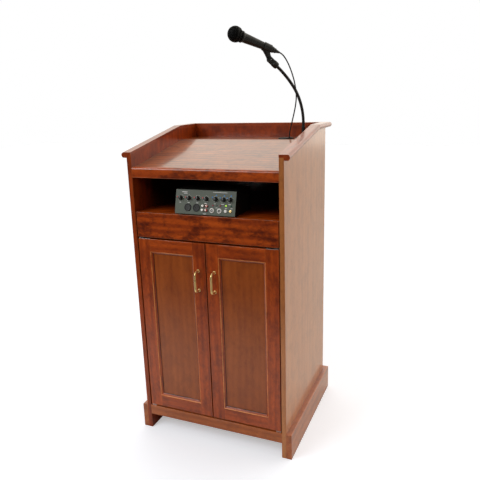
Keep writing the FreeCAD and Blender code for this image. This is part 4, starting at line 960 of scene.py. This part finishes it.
def mixer_marks():
    """Dial ticks round each knob, short bars in place of wording, and red and blue spots beside the knobs."""
    ticks, dial_r = [], 11.2 * MM
    for place in KNOBS:
        for bearing in np.radians(240 - 30 * np.arange(11)):
            offset = FACE_RIGHT * math.cos(bearing) + FACE_UP * math.sin(bearing)
            ticks.append((place + offset * dial_r, 2.2 * MM, 0.8 * MM, bearing))
    # share across, share down, length and height in mm
    bars = [(0.08, 0.52, 7, 1.7), (0.225, 0.52, 9, 1.7), (0.372, 0.52, 8, 1.7), (0.515, 0.52, 11, 1.7),
            (0.662, 0.52, 7, 1.7), (0.79, 0.52, 12, 1.7), (0.905, 0.52, 10, 1.7), (0.505, 0.935, 13, 1.7),
            (0.695, 0.675, 9, 1.4), (0.85, 0.672, 9, 1.4), (0.937, 0.672, 10, 1.4), (0.15, 0.10, 22, 2.2),
            (0.165, 0.155, 14, 1.8), (0.74, 0.07, 56, 1.6)]
    bars = [(on_face(u, v), width * MM, height * MM, 0.0) for u, v, width, height in bars]

    def diamonds(knobs, size, *offsets):
        return [(place + (FACE_RIGHT * right + FACE_UP * up) * MM, size * MM, size * MM, math.pi / 4)
                for place in knobs for right, up in offsets]

    red = diamonds(KNOBS[:4], 4.2, (-14.5, 3))
    blue = diamonds(KNOBS[4:], 4.6, (-13, 6), (2, 14))
    forms = [raised_marks(ticks + bars), raised_marks(red), raised_marks(blue)]
    make_piece("mixer_marks", forms, [WHITE_INK, RED_INK, BLUE_INK], "root", sharp=20)


def knob(number):
    """Knob with a skirt, a fluted grip and a dished top. Flutes: the grip's radius dips by 0.7 mm at each of 16
    places. A white pointer line lies on its top and grip."""
    def flutes(radius, height, angle):
        on_grip = smooth_step(height, 5 * MM, 6 * MM)
        dip = (0.5 + 0.5 * np.cos(16 * angle)) ** 2
        return radius - 0.7 * MM * dip * on_grip * np.clip(radius / (6 * MM), 0, 1)

    body = turned([(0, 1), (8, 1), (8, 4, 0.9), (6.7, 5, 0.6), (6.6, 6), (6.3, 9), (6.0, 14, 1.1), (4.8, 14, 0.5),
                   (4.4, 13.6), (0, 13.6)], 96, wave=flutes)
    spot = KNOBS[number - 1]
    line = np.array([[0, 2.0, 13.62], [0, 4.3, 13.62], [0, 5.2, 14.05], [0, 5.75, 13.6], [0, 6.1, 11.0],
                     [0, 6.35, 7.0]]) * MM
    pointer = carried(line, FACE_RIGHT, squircle(np.full(6, 0.5 * MM), np.full(6, 0.14 * MM), 12))
    forms = [placed(form, spot, FACE_AXES) for form in (body, pointer)]
    make_piece(f"fluted_knob_{number}", forms, [KNOB, WHITE_INK], f"knob_{number}",
               [f"mixer_knob_{number}"])


def combo_socket():
    """Round combination socket: an outer ring, a grey recess, three small pin holes and a plug hole. The face is
    a height over the disc, in mm: ring, step, recess, and holes sunk where the way to a hole's middle is under
    its radius."""
    radial = np.concatenate([np.linspace(0, 3.1, 6), np.linspace(3.25, 3.6, 4), np.linspace(3.9, 9.6, 24),
                             np.linspace(9.8, 10.6, 6), np.linspace(11.0, 13.2, 8), np.linspace(13.3, 14.0, 6)])
    radial = radial[::-1, None]
    angle = full_turn(120)[None, :]
    height = 2.5 - 1.3 * (1 - smooth_step(radial, 9.7, 10.7)) - 0.9 * smooth_step(radial, 13.2, 14.0) ** 2
    height = height - 14.0 * (1 - smooth_step(radial, 3.2, 3.4))
    x, y = radial * np.cos(angle), radial * np.sin(angle)
    pin_circle, pin_depth = 6.6, 3.5
    for bearing in full_turn(3) + math.radians(30):
        gap = np.hypot(x - pin_circle * math.cos(bearing), y - pin_circle * math.sin(bearing))
        height = height - pin_depth * (1 - smooth_step(gap, 0.95, 1.25))
    base = points_of(x[:1], y[:1], 0.0) * MM
    points = np.concatenate([base * 0, base, points_of(x, y, height) * MM])
    faces = grid_faces(len(points), points.shape[1])
    points = points.reshape(-1, 3)
    mid = points[faces].mean(axis=1) / MM
    reach = np.hypot(mid[:, 0], mid[:, 1])
    grey, deep = (reach > 3.5) & (reach < 10.4), reach < 3.3
    return [(points, faces[part]) for part in (~grey & ~deep, grey, deep)]


def sockets():
    """The mixer's sockets: two combination ones, four phono ones, two nutted jacks and a small gold one."""
    forms = [at_face(form, u, 0.71) for u in (0.218, 0.362) for form in combo_socket()]
    make_piece("combination_sockets", forms, [SOCKET, SOCKET_GREY, HOLE] * 2, "root",
               ["combo_sockets"])

    ring = turned([(0, 0), (4.4, 0), (4.4, 5.6, 0.5), (3.9, 6.6, 0.4), (2.6, 6.6, 0.3), (2.6, 5.4)], 48)
    barrel = turned([(2.6, 4.8), (2.6, 7.0, 0.2), (1.7, 7.0, 0.2), (1.7, 0.8), (0, 0.8)], 40)
    forms, kinds = [], []
    for u, v, plastic in ((0.472, 0.62, WHITE_PLASTIC), (0.535, 0.62, RED_PLASTIC),
                          (0.468, 0.787, WHITE_PLASTIC), (0.531, 0.787, RED_PLASTIC)):
        forms += [at_face(ring, u, v), at_face(barrel, u, v)]
        kinds += [plastic, NICKEL]
    make_piece("phono_pair_sockets", forms, kinds, "root", ["phono_sockets"])

    def flats(radius, height, angle):
        apothem = 7.6 * MM / np.cos((angle + np.pi / 6) % (np.pi / 3) - np.pi / 6)
        return np.where(height > 0.9 * MM, np.minimum(radius, apothem), radius) * (radius > 0)

    nut = turned([(0, 0), (8.8, 0), (8.8, 0.9, 0.3), (8.6, 0.95), (8.6, 2.2), (7.9, 2.9), (4.9, 2.9)], 96,
                 wave=flats)
    neck = turned([(4.9, 2.9), (4.9, 3.5, 0.3), (3.25, 3.5, 0.3), (3.25, -10.4), (0, -10.4)], 64)
    small = turned([(0, 0), (5.2, 0), (5.2, 1.2, 0.4), (3.4, 1.4), (3.4, 2.5, 0.3), (1.85, 2.5, 0.2), (1.85, -6),
                    (0, -6)], 64)
    forms = [at_face(form, u, v) for u, v in ((0.624, 0.788), (0.744, 0.789)) for form in (nut, neck)]
    forms.append(at_face(small, 0.927, 0.79))
    make_piece("nutted_jacks", forms, [PALE_NUT, SOCKET] * 2 + [GOLD], "root", ["jack_sockets"])


def lamps_and_button():
    """Five domed lamps in thin bezels, and the round push button on its own body."""
    dome = turned([(0, -1), (2.1, -1), (2.1, 1.2), (1.9, 2.2, 0.6), (1.1, 2.9, 0.8), (0, 3.0)], 36)
    bezel = turned([(2.1, 0), (3.0, 0), (3.0, 0.7, 0.3), (2.1, 0.9), (2.1, 0)], 36)
    red = lamp_lens("lamp_red", rgb(176, 36, 62), 0.35)
    clear = lamp_lens("lamp_clear", rgb(128, 134, 128), 0.0)
    green = lamp_lens("lamp_green", rgb(196, 255, 70), 1.6)
    unlit = lamp_lens("lamp_dark_green", rgb(20, 110, 84), 0.12)
    forms, kinds = [], []
    for u, v, lens in ((0.637, 0.589, red), (0.695, 0.575, clear), (0.756, 0.583, red), (0.850, 0.575, green),
                       (0.934, 0.572, unlit)):
        forms += [at_face(dome, u, v), at_face(bezel, u, v)]
        kinds += [lens, SOCKET]
    make_piece("domed_lamps", forms, kinds, "root", ["indicator_lamps"])
    cap = turned([(0, -6), (5.4, -6), (5.4, 3.6, 0.9), (3.4, 4.4, 1.6), (0, 4.0)], 64)
    make_piece("push_button_cap", at_face(cap, 0.849, 0.787), WHITE_PLASTIC, "button",
               ["power_button"])


def mixer_paint():
    """The mixer's grey-green face, and near-black painted shade on its sides, starting a millimetre behind the
    face.
    """
    material, tree, shader, place = new_material("mixer_paint")
    speckle = use_group(tree, SPECKLE, {"Vector": place, "Grain": 1500.0})
    offset = vectors(tree, "SUBTRACT", place, tuple(KNOBS[0]))
    depth = vectors(tree, "DOT_PRODUCT", offset, tuple(FACE_OUT), output="Value")
    face = blended(tree, speckle["Cloudiness"], rgb(84, 92, 82), rgb(100, 108, 96))
    feed_all(tree, shader, {
        # painted shade: everything more than a millimetre behind the face is near black
        "Base Color": blended(tree, ranged(tree, depth, -1.2 * MM, -0.8 * MM), rgb(22, 24, 23), face),
        "Roughness": ranged(tree, speckle["Cloudiness"], 0.0, 1.0, 0.43, 0.57),
        "Normal": bumped(tree, speckle["Height"], 0.00006, 0.6)})
    return material


finish_node("mixer_case", mixer_paint())
finish_node("mixer_electronics", CIRCUIT)
mixer_marks()
for knob_number in range(1, 8):
    knob(knob_number)
sockets()
lamps_and_button()


# ---- pulls, fixings, drawer
def door_pull(side):
    """Bent brass wire: out from one foot, round a 13 mm bend, down the grip and back, a little thicker where it
    meets the turned feet."""
    node = f"{side}_door_handle"
    low, high = (np.array(corner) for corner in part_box(node))
    x = (low[0] + high[0]) / 2
    foot_r, wire_r, bend = 6.5 * MM, 4 * MM, 13 * MM
    face, grip = high[1], low[1] + wire_r
    z_low, z_high = low[2] + foot_r, high[2] - foot_r
    turn = np.linspace(0, math.pi / 2, 18)[1:-1]
    out = np.linspace(face, grip + bend, 8)
    first = np.column_stack([out, np.full(8, z_low)])
    lower = np.column_stack([grip + bend - bend * np.sin(turn), z_low + bend - bend * np.cos(turn)])
    straight = np.column_stack([np.full(24, grip), np.linspace(z_low + bend, z_high - bend, 24)])
    upper = lower[::-1] * [1, -1] + [0, z_low + z_high]
    flat = np.concatenate([first, lower, straight, upper, first[::-1] * [1, -1] + [0, z_low + z_high]])
    path = np.column_stack([np.full(len(flat), x), flat])
    swell = np.exp(-((face - path[:, 1]) / (5 * MM)) ** 2)
    wire = carried(path, np.array([1.0, 0.0, 0.0]), circle(wire_r + 1.2 * MM * swell, 32))
    foot = turned([(0, 0), (6.5, 0), (6.5, 1.2, 0.5), (5.6, 2.4, 0.8), (0, 2.5)], 48)
    feet = [placed(foot, (x, face, z), axes((0, -1, 0), (1, 0, 0))) for z in (z_low, z_high)]
    make_piece(f"{side}_door_pull", [wire, *feet], [BRASS] * 3, f"{side}_door", [node])


for door_side in ("left", "right"):
    door_pull(door_side)
    finish_node(f"{door_side}_door_fixings", ZINC)
    finish_node(f"{door_side}_door_pivot_plates", ZINC)
for plated in ("shelf_pegs", "frame_pivot_plates", "case_slides", "drawer_slides"):
    finish_node(plated, ZINC)
finish_node("magnetic_catches", CATCH)
DRAWER_WOOD = birch()
finish_node("drawer_walls", DRAWER_WOOD)
finish_node("drawer_bottom", DRAWER_WOOD)


# ---- studio
def studio_floor():
    """Plain pale floor. It reads bright to the eye, and it throws little light up in front of the doors."""
    mesh = bpy.data.meshes.new("floor")
    half = 12.0
    mesh.from_pydata([(-half, -half, 0), (half, -half, 0), (half, half, 0), (-half, half, 0)], [], [(0, 1, 2, 3)])
    floor = bpy.data.objects.new("floor", mesh)
    bpy.context.scene.collection.objects.link(floor)
    material, tree, shader, place = new_material("pale_floor")
    front = ranged(tree, parts_of(tree, place)[1], -1.9, -0.7)
    bounced = blended(tree, front, (0.03, 0.03, 0.03, 1.0), (0.80, 0.79, 0.77, 1.0))
    seen = add(tree, "ShaderNodeLightPath").outputs["Is Camera Ray"]
    color = blended(tree, seen, bounced, (0.78, 0.84, 0.95, 1.0))
    feed_all(tree, shader, {
        "Base Color": color, "Roughness": 0.8, "Specular IOR Level": 0.1,
        "Emission Color": (1.0, 1.0, 1.0, 1.0), "Emission Strength": times(tree, seen, 0.42)})
    floor.data.materials.append(material)


def softbox(name, place, size, power, aim=(0.0, 0.0, 0.8)):
    """Oblong area light at a place, facing a point of the lectern."""
    data = bpy.data.lights.new(name, "AREA")
    data.shape = "RECTANGLE"
    data.size, data.size_y = size
    data.energy = power
    light = bpy.data.objects.new(name, data)
    turn = axes(np.array(place) - np.array(aim), (1e-3, 0.0, 1.0))
    matrix = Matrix(turn.tolist()).to_4x4()
    matrix.translation = place
    light.matrix_world = matrix
    bpy.context.scene.collection.objects.link(light)


def studio_light():
    """Soft white surroundings, brightest to the right, behind and above, dim on the presenter's side."""
    world = bpy.data.worlds.new("studio")
    bpy.context.scene.world = world
    world.use_nodes = True
    tree = world.node_tree
    tree.nodes.clear()
    direction = add(tree, "ShaderNodeTexCoord").outputs["Generated"]
    parts = parts_of(tree, direction)
    right = times(tree, ranged(tree, parts[0], 0.0, 0.9, 0.0, 0.6), ranged(tree, parts[1], -0.4, 0.3))
    behind = ranged(tree, parts[1], 0.0, 0.7, 0.0, 1.2)
    above = ranged(tree, parts[2], 0.2, 1.0, 0.0, 0.5)
    total = plus(tree, right, behind, above, 0.03)
    seen = add(tree, "ShaderNodeLightPath").outputs["Is Camera Ray"]
    strength = add(tree, "ShaderNodeMix", {0: seen, 2: total, 3: 1.0}, data_type="FLOAT").outputs[0]
    tint = blended(tree, seen, (1.0, 0.93, 0.82, 1.0), (1.0, 1.0, 1.0, 1.0))
    back = add(tree, "ShaderNodeBackground", {"Color": tint, "Strength": strength})
    out = add(tree, "ShaderNodeOutputWorld")
    tree.links.new(back.outputs[0], out.inputs[0])
    softbox("key_left", (-1.6, -2.4, 2.6), (1.8, 1.8), 46)
    softbox("strip_right", (1.9, -2.3, 2.3), (0.4, 1.2), 6, aim=(0.0, -0.3, 0.8))


studio_floor()
studio_light()
bpy.context.scene.view_settings.view_transform = "Standard"
